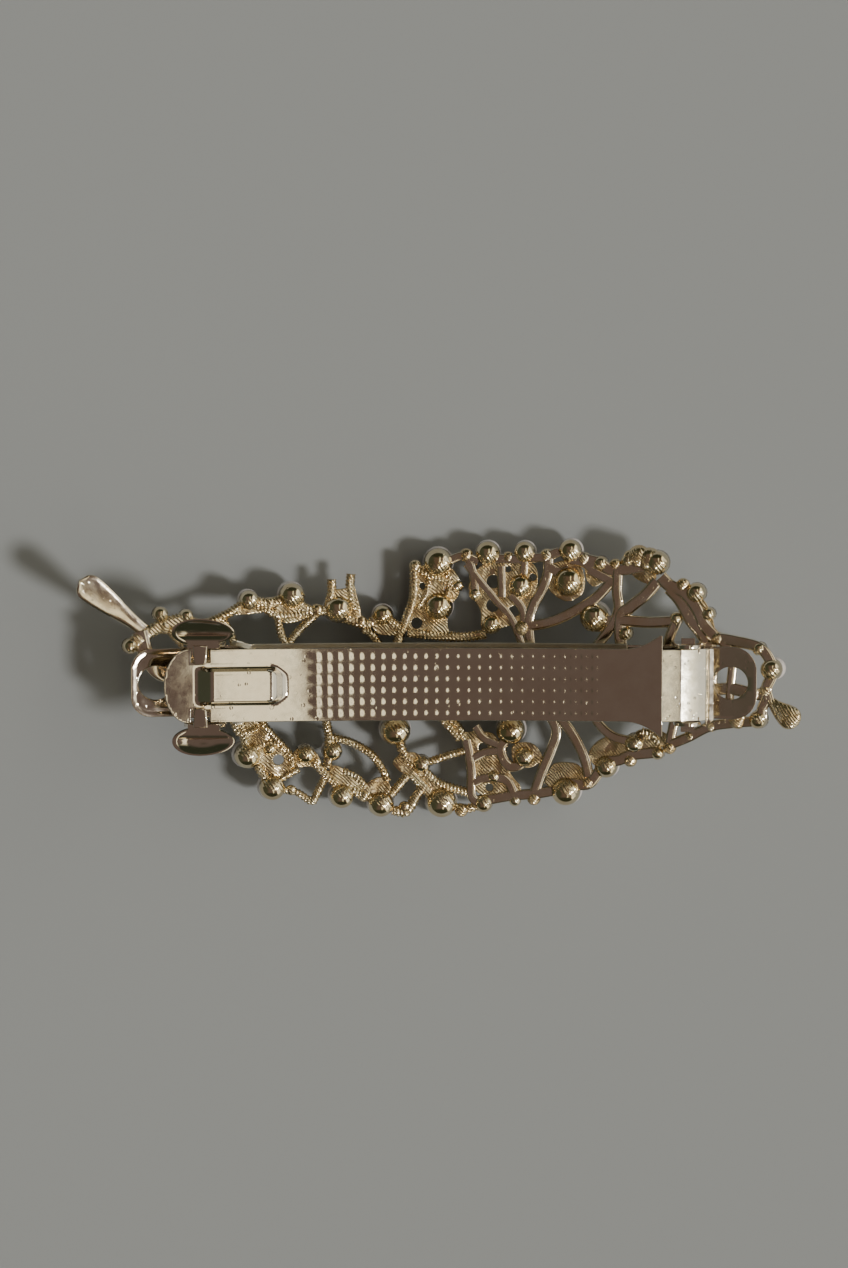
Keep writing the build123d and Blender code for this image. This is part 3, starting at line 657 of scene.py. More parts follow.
def base_plan():
    """The base plate's outline: two round-cornered tabs, the straight strip and the hinge footing."""
    left, right = plate_low.x, plate_high.x
    foot0, foot1 = HINGE.x - EAR_R, HINGE.x + EAR_R
    ear_out = EAR_Y + EAR_T / 2
    points = arc(right - END_ROUND, HALF_W - END_ROUND, END_ROUND, 0, 90, 12)
    points += [(foot1, HALF_W), (foot1, ear_out), (foot0, ear_out), (foot0, HALF_W)]
    points += [(CHANNEL_LEFT, HALF_W), (CHANNEL_LEFT, TAB_HALF)]
    points += arc(left + TAB_ROUND, TAB_HALF - TAB_ROUND, TAB_ROUND, 90, 180, 12)
    return points + [(x, -y) for x, y in reversed(points)]


def tab_distance(x, y):
    """How far a point of the catch-end tab lies inside that tab's edge."""
    left = plate_low.x
    cx, cy = left + TAB_ROUND, TAB_HALF - TAB_ROUND
    if x < cx and abs(y) > cy:
        return TAB_ROUND - math.hypot(x - cx, abs(y) - cy)
    return min(x - left, TAB_HALF - abs(y))


def make_plate():
    """The bent plate, with a shallow groove pressed round the edge of its catch-end tab."""
    holes = [
        arc(LEFT_HOLE_X, 0, LEFT_HOLE_R, 360, 0, 40)[:-1],
        arc(RIGHT_HOLE_X, 0, RIGHT_HOLE_R, 360, 0, 40)[:-1],
    ]
    bm = plate_from_outline(base_plan(), holes, PLATE_T, 0.09)
    slice_mesh(bm, 0, -39.2, -33.5, 0.2)
    slice_mesh(bm, 1, -4.2, 4.2, 0.2)
    slice_mesh(bm, 0, CHANNEL_LEFT, 40.0, 0.8)
    for v in bm.verts:
        x, y, h = v.co
        dent = 0.0
        if x < CHANNEL_LEFT and h > PLATE_T - 0.02:
            dent = 0.05 * math.exp(-((tab_distance(x, y) - 0.75) / 0.16) ** 2)
        v.co.z = arch_z(x, ARCH_R - h) - dent
    place(finish_mesh("base_plate_sheet", bm, CLIP_GOLD, 40, True), "base", "clip_gold", "base_plate")


def make_hinge_ear(side, label):
    x, z = HINGE.x, HINGE.z
    foot_z = arch_z(x - EAR_R, ARCH_R) + 0.35
    ear = [(x - EAR_R, foot_z), (x + EAR_R, foot_z + 0.42)] + arc(x, z, EAR_R, 0, 180, 24)
    hole = arc(x, z, HINGE_HOLE_R, 360, 0, 28)[:-1]
    bm = plate_from_outline(ear, [hole], EAR_T, 0.07)
    stand_up(bm, side * EAR_Y - EAR_T / 2)
    place(finish_mesh(f"hinge_ear_{label}", bm, CLIP_GOLD), "base", "clip_gold")


def make_side_wall(side, label):
    """A low wall with a rolled lip, which swings out and up near the catch end."""
    path = []
    for i in range(105):
        x = 24.0 - 50.4 * i / 104
        out = smoothstep(-24.4, -26.4, x)
        y = side * (HALF_W - SHEET_T / 2 + 0.65 * out)
        path.append(Vector((x, y, arch_z(x, PLATE_TOP_R - CORE_H) + 1.2 * out)))
    half = [
        (-0.25, -0.6), (0.25, -0.6), (0.25, 0.52), (0.15, 0.62), (-0.30, 0.72), (-0.46, 0.62), (-0.25, 0.25),
    ]
    bm = bmesh.new()
    sweep(bm, path, lambda travelled, total: [(s * side, u) for s, u in half])
    place(finish_mesh(f"side_wall_{label}", bm, WALL_SATIN), "base", "clip_gold")


def make_strap():
    """The bridge of sheet over the spring's rolled end."""
    strap = [
        (-3.7, -0.1), (-3.7, 0.9), (-3.3, 1.4), (-2.8, 1.5), (2.8, 1.5), (3.3, 1.4), (3.7, 0.9), (3.7, -0.1),
    ]
    inner = [(3.1, -0.1), (3.1, 0.8), (2.8, 1.15), (-2.8, 1.15), (-3.1, 0.8), (-3.1, -0.1)]
    matrix = on_arch(SPRING_PIVOT.x, 0, PLATE_TOP_R)
    bm = bmesh.new()
    rings = []
    for dx in (-0.8, 0.8):
        rings.append([bm.verts.new(matrix @ Vector((dx, y, w))) for y, w in strap + inner])
    join_rings(bm, *rings)
    bm.faces.new(rings[0])
    bm.faces.new(rings[1][::-1])
    bmesh.ops.bevel(bm, geom=bm.edges[:], offset=0.05, segments=2, affect="EDGES", clamp_overlap=True)
    place(finish_mesh("spring_strap", bm, CLIP_GOLD), "base", "clip_gold")


def make_spring():
    """The bowed strip and its rolled end."""
    left = spring_low.x
    middle = (left + SPRING_PIVOT.x) / 2
    ends = [
        Vector((left, arch_z(left, PLATE_TOP_R) + 0.15)),
        Vector((middle, arch_z(middle, PLATE_TOP_R) + 0.85)),
        Vector((SPRING_PIVOT.x - 0.1, SPRING_PIVOT.z - 0.175)),
    ]
    (x1, y1), (x2, y2), (x3, y3) = ends
    # the centre and radius of the circle through the strip's two ends and its middle
    d = 2 * (x1 * (y2 - y3) + x2 * (y3 - y1) + x3 * (y1 - y2))
    s1, s2, s3 = x1 * x1 + y1 * y1, x2 * x2 + y2 * y2, x3 * x3 + y3 * y3
    cx = (s1 * (y2 - y3) + s2 * (y3 - y1) + s3 * (y1 - y2)) / d
    cz = (s1 * (x3 - x2) + s2 * (x1 - x3) + s3 * (x2 - x1)) / d
    radius = math.hypot(x1 - cx, y1 - cz)
    corner_y = SPRING_HALF - SPRING_ROUND
    outline = arc(left + SPRING_ROUND, corner_y, SPRING_ROUND, 180, 90, 8)
    outline += [(x3, SPRING_HALF), (x3, -SPRING_HALF)]
    outline += arc(left + SPRING_ROUND, -corner_y, SPRING_ROUND, 270, 180, 8)
    bm = plate_from_outline(outline, [], SPRING_T, 0.08)
    slice_mesh(bm, 0, left + 0.5, x3 - 0.5, 0.8)
    for v in bm.verts:
        x, y, h = v.co
        v.co.z = cz - math.sqrt(max((radius - h) ** 2 - (x - cx) ** 2, 0.0))
    strip = finish_mesh("tension_spring_strip", bm, SPRING_GOLD, 40, True)
    place(strip, "spring", "spring_gold", "tension_spring")
    roll = arc(SPRING_PIVOT.x, SPRING_PIVOT.z, ROLL_R, 0, 360, 24)[:-1]
    bm = plate_from_outline(roll, [], 2 * SPRING_HALF, 0.05)
    stand_up(bm, -SPRING_HALF)
    place(finish_mesh("tension_spring_roll", bm, SPRING_GOLD), "spring", "spring_gold")


def latch_pad(side, top):
    """The dished oval finger pad of a latch ear, as a closed mesh."""
    bm = bmesh.new()
    tilt = math.radians(PAD_TILT * side)
    matrix = Matrix.Translation((LATCH_X, side * PAD_Y, top - 0.2)) @ Matrix.Rotation(tilt, 4, "X")
    for under in (False, True):
        rings = []
        for i in range(PAD_RINGS + 1):
            rho = i / PAD_RINGS
            dish = 0.42 * rho ** 2.4 - 0.20 + 0.015 * math.sin(9 * rho)
            h = dish - 0.16 if under else dish + 0.10
            if i == PAD_RINGS:
                h = dish - 0.04
            ring = []
            for k in range(PAD_STEPS):
                a = 2 * math.pi * k / PAD_STEPS
                x = PAD_HALF_L * rho * math.cos(a)
                y = PAD_HALF_W * rho * math.sin(a) * (1 - 0.12 * math.cos(a))
                ring.append(matrix @ Vector((x * 0.995, y, h)))
            rings.append(ring)
        made = [[bm.verts.new(rings[0][0])]]
        made += [[bm.verts.new(p) for p in ring] for ring in rings[1:]]
        for a, b in zip(made, made[1:]):
            join_rings(bm, a, b)
    bmesh.ops.remove_doubles(bm, verts=bm.verts, dist=0.004)
    return bm


def make_latch(side, label):
    """A latch ear: root wall, neck, dished oval finger pad and hook, bent from one strip."""
    body = f"latch_{label}"
    node = f"latch_ear_{label}"
    top = arm_z(NOTCH[0], ARM_T) + 0.1 + SHEET_T
    x0, x1 = LATCH_X - LATCH_HALF, LATCH_X + LATCH_HALF
    wall = [
        (x0, arch_z(x0, ARCH_R - 0.22)), (x1, arch_z(x1, ARCH_R - 0.22)), (x1 + 0.1, top - 2.2),
        (-28.3, top - 0.4), (-31.7, top - 0.4), (x0 - 0.1, top - 2.2),
    ]
    bm = plate_from_outline(wall, [], SHEET_T, 0.08)
    stand_up(bm, side * LATCH_Y - SHEET_T / 2)
    place(finish_mesh(f"{node}_wall", bm, CLIP_GOLD), body, "clip_gold", node)
    path = [
        Vector((LATCH_X, side * LATCH_Y, top - 0.95)),
        Vector((LATCH_X, side * (LATCH_Y + 0.01), top - 0.7)),
    ]
    for i in range(13):
        t = i / 12
        path.append(Vector((LATCH_X, side * (LATCH_Y + 1.5 * t), top - 0.55 + 0.42 * t * t)))

    def neck(travelled, total):
        half = 2.0 + 1.1 * smoothstep(0.45, 1.0, travelled / total)
        right = [(half, -0.2), (half + 0.08, 0.0), (half, 0.2)]
        return [(-half, -0.2)] + right + [(-half, 0.2), (-half - 0.08, 0.0)]

    bm = bmesh.new()
    sweep(bm, path, neck)
    place(finish_mesh(f"{node}_neck", bm, CLIP_GOLD), body, "clip_gold")
    place(finish_mesh(f"{node}_pad", latch_pad(side, top), CLIP_GOLD, 60), body, "clip_gold")
    hook = [
        (-31.3, side * 5.2), (-31.2, side * 3.1), (-30.9, side * 2.8),
        (-29.9, side * 2.8), (-29.6, side * 3.1), (-29.5, side * 5.2),
    ]
    bm = plate_from_outline(hook, [], SHEET_T, 0.12)
    bmesh.ops.translate(bm, vec=(0, 0, top - SHEET_T), verts=bm.verts)
    place(finish_mesh(f"{node}_hook", bm, CLIP_GOLD), body, "clip_gold")


make_arm()
make_knuckle()
make_plate()
for side, label in ((1, "upper"), (-1, "lower")):
    make_hinge_ear(side, label)
    make_side_wall(side, label)
make_strap()
make_spring()
make_latch(1, "upper")
make_latch(-1, "lower")

# ---- The leaf ----

EDGE_PEARLS = [
    (-24.7, 10.3, 1.3), (-19.2, 10.8, 1.7), (-13.2, 9.0, 1.8), (-7.4, 8.2, 1.35),
    (-0.2, 15.0, 1.9), (6.2, 16.2, 1.6), (11.0, 16.4, 1.4), (16.9, 16.6, 1.5),
    (-25.0, -9.8, 1.7), (-21.8, -14.0, 1.7), (-12.8, -15.3, 1.6), (-7.7, -16.4, 1.7),
    (0.2, -16.2, 2.0), (16.4, -14.6, 1.9), (21.6, -11.3, 1.5),
]
INNER_PEARLS = [
    (-5.8, -6.8, 2.0), (9.2, -6.7, 1.9), (20.0, 8.0, 1.9), (-14.0, -9.4, 1.3),
    (-0.2, 9.3, 1.9), (42.5, 1.8, 1.4),
]
VEIN_PEARLS = [
    (-29.0, 1.2, 1.6), (-23.6, -1.4, 1.8), (-18.0, 1.5, 1.9), (-12.2, -1.5, 2.0), (-6.2, 1.6, 2.0),
    (0.0, -1.5, 2.0), (6.2, 1.6, 2.0), (12.4, -1.5, 2.0), (18.2, 1.5, 1.9), (24.0, -1.4, 1.8),
    (29.4, 1.2, 1.7), (34.6, -1.2, 1.4),
]
CRYSTALS = [
    (16.7, 12.6, 2.0), (10.5, 12.0, 1.6), (28.0, 15.2, 1.6), (33.0, 11.4, 1.3), (6.7, 7.0, 1.3),
    (24.3, 15.4, 0.9), (20.8, 15.0, 1.0), (-17.5, -9.8, 1.3), (-2.4, -11.2, 1.2), (5.7, -16.3, 1.2),
    (11.0, -10.2, 1.4), (25.2, -8.2, 1.3), (40.9, -4.7, 1.2), (-22.2, -9.0, 0.9),
]
SEED_CRYSTALS = [
    (-36.0, 8.7, 1.0), (-32.7, 8.4, 0.9), (-39.8, 4.7, 1.0), (2.3, 12.0, 0.8), (4.6, 11.0, 0.9),
    (24.0, 6.0, 1.0), (30.5, 8.0, 0.9), (34.6, 8.7, 0.9), (41.0, 4.4, 0.9), (28.2, -9.4, 0.9),
    (7.0, -12.8, 0.9), (9.8, -15.9, 0.8),
]

# rope-twisted ribs and plain ribs: width and plan points
ROPES = [
    (1.6, [(-39.6, 4.6), (-38.6, 5.6), (-37.0, 6.6), (-35.2, 7.4), (-33.0, 8.0)]),
    (1.1, [(-33.0, 8.2), (-30.5, 7.4), (-27.5, 8.5), (-24.7, 10.3)]),
    (1.0, [(-36.0, 8.7), (-35.2, 7.4), (-33.5, 5.2), (-29.0, 1.2)]),
    (1.3, [(-24.7, 10.3), (-22.0, 9.9), (-19.2, 10.8)]),
    (1.3, [(-18.6, 10.0), (-16.5, 8.8), (-13.2, 9.0), (-12.0, 7.8), (-9.6, 7.0)]),
    (1.2, [(-9.6, 6.9), (-7.4, 7.9), (-4.5, 6.0)]),
    (1.0, [(-24.2, 9.6), (-21.3, 8.5), (-20.3, 5.4), (-18.0, 1.5)]),
    (1.0, [(-22.6, 9.6), (-21.3, 8.4), (-17.8, 8.4), (-16.4, 8.6)]),
    (1.0, [(-16.0, 8.4), (-19.0, 5.4), (-23.6, -1.4)]),
    (1.0, [(-10.0, 6.5), (-8.5, 5.3), (-6.2, 1.6)]),
    (1.0, [(-28.0, 8.2), (-26.5, 4.0), (-29.0, 1.2)]),
    (1.2, [(-6.2, 1.6), (-5.4, 5.0), (-4.4, 7.6), (-3.4, 10.6), (-3.3, 14.4)]),
    (1.2, [(-4.2, 6.0), (-1.0, 5.6), (3.0, 5.4), (6.0, 5.8)]),
    (1.1, [(-3.0, 14.2), (-1.4, 13.4), (0.4, 12.8), (2.2, 11.6)]),
    (1.0, [(-2.9, 9.0), (-1.6, 11.4), (-1.4, 13.2)]),
    (1.0, [(0.8, 10.6), (1.4, 12.6), (0.8, 14.0)]),
    (1.1, [(-25.8, -4.8), (-25.4, -7.0), (-25.0, -8.8)]),
    (1.1, [(-29.0, 1.2), (-27.0, -4.0), (-25.8, -6.8), (-23.6, -6.2)]),
    (1.2, [(-23.6, -11.0), (-22.8, -12.4), (-21.8, -13.2)]),
    (1.1, [(-23.6, -1.4), (-23.0, -5.4), (-22.0, -6.9), (-20.4, -8.7), (-19.3, -10.2), (-19.2, -11.4)]),
    (1.0, [(-24.4, -9.0), (-22.2, -8.2), (-20.6, -8.6)]),
    (1.0, [(-20.6, -12.9), (-19.4, -12.2), (-18.3, -11.6)]),
    (0.9, [(-20.2, -14.4), (-18.6, -14.7), (-16.7, -16.0)]),
    (1.0, [(-16.5, -16.0), (-15.7, -14.4), (-15.0, -13.0)]),
    (1.1, [(-16.4, -10.6), (-15.2, -12.0), (-13.3, -13.9)]),
    (1.1, [(-12.2, -1.5), (-14.6, -4.6), (-14.4, -7.5), (-14.6, -11.6)]),
    (1.0, [(-14.2, -7.6), (-11.5, -8.3), (-9.0, -9.8), (-7.6, -11.6), (-6.8, -13.4)]),
    (1.0, [(-12.6, -12.0), (-10.8, -12.9), (-9.6, -14.2)]),
    (1.1, [(-11.4, -14.4), (-10.0, -15.2), (-8.6, -15.6)]),
    (1.1, [(-6.4, -15.2), (-5.2, -13.8), (-4.2, -12.6)]),
    (1.2, [(-6.2, -17.2), (-4.4, -17.4), (-3.2, -15.6), (-2.4, -14.4)]),
    (1.3, [(-3.8, -12.2), (-2.4, -13.8), (-0.9, -15.5)]),
    (1.2, [(-5.2, -7.9), (-4.9, -9.3), (-4.2, -10.6), (-2.6, -11.4)]),
    (1.1, [(0.0, -1.5), (0.2, -4.8), (1.4, -6.4), (2.7, -8.0)]),
    (1.0, [(1.0, -1.5), (1.3, -4.8), (2.6, -6.6), (3.6, -8.6)]),
    (1.0, [(-1.6, -11.0), (0.6, -10.2), (3.4, -9.4)]),
    (1.1, [(-2.0, -12.2), (0.2, -13.8), (3.6, -14.9)]),
    (1.1, [(2.0, -16.8), (3.6, -17.0), (5.7, -16.3)]),
    (1.0, [(26.0, -6.6), (27.4, -7.2), (28.6, -8.4)]),
    (1.1, [(-14.0, 12.9), (-14.0, 11.4), (-14.4, 9.0)]),
    (1.1, [(-11.5, 13.6), (-11.6, 11.5), (-11.0, 9.0)]),
]
SMOOTH = [
    (1.8, [(-38.4, 6.6), (-37.6, 3.6), (-35.8, 1.2), (-32.0, 0.6), (-29.0, 1.2)]),
    (1.4, [(34.6, -1.2), (37.2, -0.8), (40.2, -1.4), (41.8, -1.2)]),
    (1.0, [(1.4, 15.4), (3.0, 15.9), (5.0, 15.2)]),
    (1.0, [(4.6, 11.0), (4.2, 14.0), (3.5, 16.0)]),
    (0.9, [(3.4, 14.9), (4.9, 13.0), (7.2, 10.2), (9.7, 6.9), (12.4, -1.5)]),
    (1.1, [(6.9, 15.6), (9.0, 15.5), (11.0, 15.5)]),
    (1.1, [(11.6, 15.7), (13.4, 15.8), (15.4, 16.5)]),
    (1.2, [(14.0, 15.8), (13.9, 13.6), (13.2, 11.6), (12.0, 9.3), (11.5, 6.5), (12.4, -1.5)]),
    (1.2, [(11.4, 6.8), (14.0, 7.3), (16.6, 8.4), (20.0, 10.5), (22.0, 12.6)]),
    (1.0, [(10.8, 13.6), (10.9, 15.4)]),
    (1.0, [(7.9, 14.6), (8.0, 12.4), (8.0, 10.6)]),
    (1.0, [(9.2, 10.9), (10.6, 9.2), (10.9, 7.4)]),
    (1.2, [(14.0, 14.6), (15.6, 13.8), (16.8, 14.2)]),
    (1.3, [(16.9, 15.6), (18.6, 15.2), (19.6, 14.4)]),
    (1.3, [(17.0, 16.4), (18.8, 15.6), (20.8, 15.0), (22.0, 14.2), (24.0, 14.3), (26.6, 14.8)]),
    (1.1, [(19.2, 14.2), (21.2, 13.2), (22.6, 12.4)]),
    (1.2, [(22.9, 14.2), (22.8, 11.5), (22.7, 8.0), (18.2, 1.5)]),
    (1.4, [(28.0, 12.9), (26.4, 11.0), (24.5, 9.4), (23.2, 7.6), (24.0, -1.4)]),
    (1.3, [(20.4, 7.4), (23.0, 7.7), (27.0, 7.5), (30.5, 7.7)]),
    (1.5, [(28.4, 13.4), (29.5, 12.3), (31.4, 11.4), (33.0, 9.4), (34.0, 7.2), (35.4, 5.6)]),
    (1.7, [(29.6, 12.0), (31.0, 10.4), (32.3, 8.0), (33.6, 6.4), (34.6, 4.0), (34.6, -1.2)]),
    (1.2, [(30.5, 8.0), (29.4, 5.0), (29.4, 1.2)]),
    (1.3, [(34.4, 5.4), (35.6, 5.6), (37.8, 5.3), (41.0, 4.4), (42.5, 1.8), (41.7, -0.6), (42.0, -2.2)]),
    (1.2, [(41.8, -1.8), (41.2, -3.2), (40.9, -4.7), (37.6, -5.2), (34.6, -5.8), (32.0, -7.2), (29.5, -8.3)]),
    (1.0, [(35.6, 5.6), (37.4, 3.6), (37.2, -0.8), (37.0, -5.2)]),
    (1.1, [(3.4, -8.0), (3.8, -10.0), (4.1, -12.4), (4.1, -15.2), (5.0, -16.2)]),
    (1.2, [(8.9, -7.6), (7.9, -9.0), (8.3, -10.6), (9.2, -11.6)]),
    (1.0, [(4.6, -6.2), (5.8, -7.8), (7.6, -8.6)]),
    (1.0, [(4.4, -10.4), (6.0, -9.6), (8.0, -9.4)]),
    (1.1, [(9.0, -11.5), (10.2, -11.4), (11.2, -10.6)]),
    (1.1, [(4.4, -13.6), (6.0, -13.0), (8.6, -13.2), (9.8, -15.4)]),
    (1.2, [(6.4, -15.8), (9.2, -15.3), (12.3, -15.0), (14.6, -14.6)]),
    (1.2, [(12.4, -1.5), (14.3, -4.8), (15.1, -6.8), (14.5, -9.0), (13.2, -12.2), (12.3, -14.8)]),
    (1.2, [(12.4, -1.5), (15.6, -5.0), (17.4, -7.5), (18.7, -10.2), (19.3, -12.6)]),
    (1.3, [(17.0, -13.6), (19.2, -13.6), (20.6, -12.0)]),
    (1.3, [(21.6, -10.6), (23.2, -10.4), (24.8, -9.7), (28.0, -9.3)]),
    (1.1, [(18.2, 1.5), (19.8, -4.4), (22.0, -7.1), (24.8, -8.0)]),
    (1.1, [(29.4, 1.2), (30.2, -4.0), (29.6, -8.0)]),
    (1.0, [(34.6, -1.2), (34.6, -5.6)]),
    (1.7, VEIN_PEARLS),
]

# thin sheets that fill some of the gaps between ribs, each with its round holes
WEBS = [
    # upper edge of the narrow end
    ([(-26.6, 8.4), (-25.8, 10.0), (-23.2, 10.4), (-21.4, 9.8), (-22.4, 8.8), (-24.6, 8.5)], []),
    ([(-21.4, 8.4), (-21.0, 10.2), (-17.6, 10.2), (-16.6, 8.2), (-18.8, 7.3), (-20.2, 7.3)], []),
    ([(-15.2, 8.6), (-14.8, 10.4), (-14.2, 12.0), (-13.2, 11.6), (-12.2, 11.8), (-11.0, 12.2),
      (-10.8, 11.0), (-10.1, 8.6), (-10.3, 7.3), (-13.4, 7.2)], []),
    ([(-9.0, 7.2), (-6.6, 7.4), (-5.2, 6.8), (-5.6, 5.5), (-8.2, 5.7)], []),
    # upper lobe
    ([(-4.6, 6.0), (-4.2, 9.0), (-3.4, 12.0), (-3.2, 14.4), (-1.4, 15.0), (1.6, 14.4), (2.6, 13.0),
      (2.6, 10.8), (1.2, 9.4), (0.9, 7.0), (1.4, 5.6), (-2.0, 5.4)],
     [(-2.2, 12.0, 0.45), (0.9, 11.6, 0.4), (-3.0, 7.2, 0.7)]),
    ([(4.2, 10.4), (3.6, 11.8), (4.0, 13.0), (5.2, 14.8), (7.4, 15.2), (10.0, 15.4), (12.4, 15.0),
      (12.8, 12.6), (12.0, 10.4), (11.4, 8.2), (10.4, 7.2), (8.0, 6.6), (5.8, 5.8), (5.2, 6.8), (5.4, 8.8)],
     [(6.9, 12.6, 0.85), (8.8, 14.2, 0.4), (6.8, 9.5, 0.8), (9.6, 8.8, 0.7), (12.0, 13.2, 0.45)]),
    ([(13.9, 13.6), (14.6, 15.2), (17.6, 15.6), (18.8, 13.4), (18.6, 11.0), (16.6, 9.9), (15.0, 10.6),
      (13.8, 11.8)], []),
    ([(18.6, 14.8), (20.6, 14.6), (21.6, 13.0), (19.9, 11.8), (18.8, 12.8)], []),
    ([(24.0, 15.0), (26.0, 15.4), (28.0, 13.8), (27.4, 12.2), (25.6, 12.8), (24.4, 13.8)], []),
    ([(18.3, 8.6), (19.0, 9.6), (21.2, 9.2), (22.4, 7.6), (21.4, 6.2), (19.2, 6.2)], []),
    ([(33.8, 7.8), (32.8, 10.6), (34.0, 10.6), (35.0, 8.2), (35.4, 6.0), (34.4, 5.6)], []),
    # lower edge
    ([(-25.8, -5.2), (-24.0, -5.0), (-22.4, -6.6), (-20.2, -8.6), (-19.0, -10.6), (-19.4, -12.2),
      (-21.0, -12.8), (-23.4, -11.4), (-25.0, -9.2)], [(-20.9, -10.4, 0.7)]),
    ([(-19.2, -9.8), (-18.4, -8.8), (-16.8, -8.8), (-15.6, -10.0), (-15.2, -11.8), (-17.0, -11.3),
      (-18.6, -11.6)], []),
    ([(-14.6, -11.4), (-13.4, -11.2), (-12.0, -12.0), (-11.0, -13.4), (-9.6, -13.9), (-8.8, -15.2),
      (-11.0, -15.0), (-13.4, -14.6)], []),
    ([(-9.8, -13.8), (-8.0, -12.7), (-6.7, -13.2), (-6.2, -14.6), (-7.4, -15.4), (-9.0, -15.0)], []),
    ([(-6.4, -10.8), (-4.8, -9.6), (-2.9, -9.6), (-1.4, -11.6), (-2.0, -12.8), (-4.0, -13.0),
      (-5.4, -12.0)], []),
    ([(-3.4, -12.6), (-1.8, -12.8), (0.8, -13.6), (1.0, -15.0), (-1.6, -15.4)], []),
    ([(2.4, -7.2), (4.4, -6.8), (7.2, -7.0), (8.4, -10.0), (9.2, -12.6), (10.8, -14.2), (9.8, -15.6),
      (6.6, -15.6), (4.2, -14.6), (4.4, -11.6), (4.0, -9.4)], [(5.6, -9.0, 0.6), (6.4, -14.2, 0.5)]),
    ([(9.2, -8.4), (12.2, -8.2), (13.6, -10.4), (11.8, -11.8), (9.4, -11.2)], []),
    ([(14.0, -12.2), (14.8, -10.8), (17.6, -10.8), (18.9, -12.0), (18.6, -13.6), (15.6, -14.4),
      (13.4, -13.8)], []),
    ([(19.0, -9.8), (20.2, -8.0), (22.4, -7.0), (24.8, -7.8), (24.8, -9.9), (22.4, -10.6), (20.2, -11.6)],
     []),
    ([(25.0, -6.6), (27.0, -6.2), (29.6, -6.8), (28.8, -8.8), (25.2, -9.6)], []),
]

# blobs of casting where ribs meet: x, y and radius
KNOBS = [
    (3.4, 16.0, 0.9), (25.6, 16.0, 1.5), (24.4, 16.0, 0.8), (26.9, 15.6, 1.6), (38.2, -4.8, 1.2),
    (-35.4, 7.0, 0.9), (29.6, -8.6, 0.9), (24.6, -10.4, 0.9), (12.2, -15.6, 0.9), (2.8, -17.2, 0.9),
    (35.6, 5.6, 0.9), (19.2, -13.4, 0.9), (13.8, 16.0, 0.9), (18.6, 15.6, 0.9), (-16.5, -15.8, 0.6),
    (-4.6, -16.8, 0.8), (10.6, 6.6, 1.1), (31.2, 12.4, 0.9), (22.6, 14.9, 0.8), (8.8, 15.7, 0.8),
    (-22.0, 9.9, 0.8), (-15.9, 8.9, 0.9), (-10.2, 7.4, 0.8), (-3.2, 14.6, 0.8), (34.9, -5.7, 0.8),
    (32.2, -7.0, 0.8), (41.6, -1.0, 0.9), (-9.9, -15.3, 0.8), (-19.3, -14.4, 0.7),
]

STEM = [(-38.0, 6.8), (-41.4, 9.6), (-44.3, 12.0), (-45.9, 13.3)]
BUD = [(41.8, -1.8), (43.2, -3.2), (44.6, -4.3), (45.7, -5.2)]


def on_web(x, y, up=0.0):
    """A point at the middle of the web's thickness, raised by up towards the clip."""
    return Vector((x, y, arch_z(x, WEB_R + WEB_T / 2 - up)))


def rope_section(width):
    """Two twisted strands: the section turns as it goes, and its waist makes the slanting grooves."""
    def section(travelled, total):
        turn = 2 * math.pi * travelled / 0.95
        points = []
        for k in range(16):
            a = 2 * math.pi * k / 16
            r = width / 2 * (0.90 + 0.16 * math.cos(2 * (a - turn)))
            points.append((r * math.cos(a), min(r * math.sin(a), 0.6)))
        return points
    return section


def flat_section(width):
    """A cast rib: a flat back and rounded corners."""
    def section(travelled, total):
        points = []
        for k in range(20):
            a = 2 * math.pi * (k + 0.5) / 20
            c, s = math.cos(a), math.sin(a)
            points.append((
                width / 2 * math.copysign(abs(c) ** 0.45, c),
                WEB_T / 2 * math.copysign(abs(s) ** 0.38, s),
            ))
        return points
    return section


def web_path(points, step):
    """A smooth line through plan points, along the middle of the web's thickness."""
    return [on_web(p.x, p.y) for p in smooth_path([(q[0], q[1], 0) for q in points], step)]


def cup_profile(r, domed, floor):
    """Half-section of a cup, from the middle of its pocket's floor round its rim to the back."""
    pocket = POCKET * r
    waist = CUP_LIP + WEB_T / 2
    points = [(0, floor), (pocket * 0.6, floor), (pocket, floor), (pocket, 0.03), (pocket + 0.03, 0.0)]
    points += [(r - 0.05, 0.0), (r, 0.05), (r, waist * 0.5)]
    if not domed:
        top = CUP_LIP + WEB_T - 0.1
        return points + [(r, top - 0.08), (r - 0.08, top), (r * 0.5, top), (0, top)]
    for i in range(21):
        a = math.pi / 2 * i / 20
        points.append((r * math.cos(a) if i < 20 else 0, waist + r * 0.97 * math.sin(a)))
    return points


def striate(towards_middle, r):
    """Fine slanting grooves on the side of a dome that faces the clip."""
    waist = CUP_LIP + WEB_T / 2

    def shape(radius, w, a):
        if w < waist or radius < 1e-3:
            return radius, w
        x, y = radius * math.cos(a), radius * math.sin(a)
        inward = smoothstep(-0.25, 0.2, (y * towards_middle + 0.25 * x) / r)
        groove = 0.045 * inward * math.sin(2 * math.pi * (x + y * 0.7) / 0.52)
        k = 1 + groove / r - 0.02
        return radius * k, waist + (w - waist) * k
    return shape


def rounded(points):
    """A closed outline with its corners cut twice."""
    for _ in range(2):
        cut = []
        for (ax, ay), (bx, by) in zip(points, points[1:] + points[:1]):
            cut.append((ax * 0.78 + bx * 0.22, ay * 0.78 + by * 0.22))
            cut.append((ax * 0.22 + bx * 0.78, ay * 0.22 + by * 0.78))
        points = cut
    return points


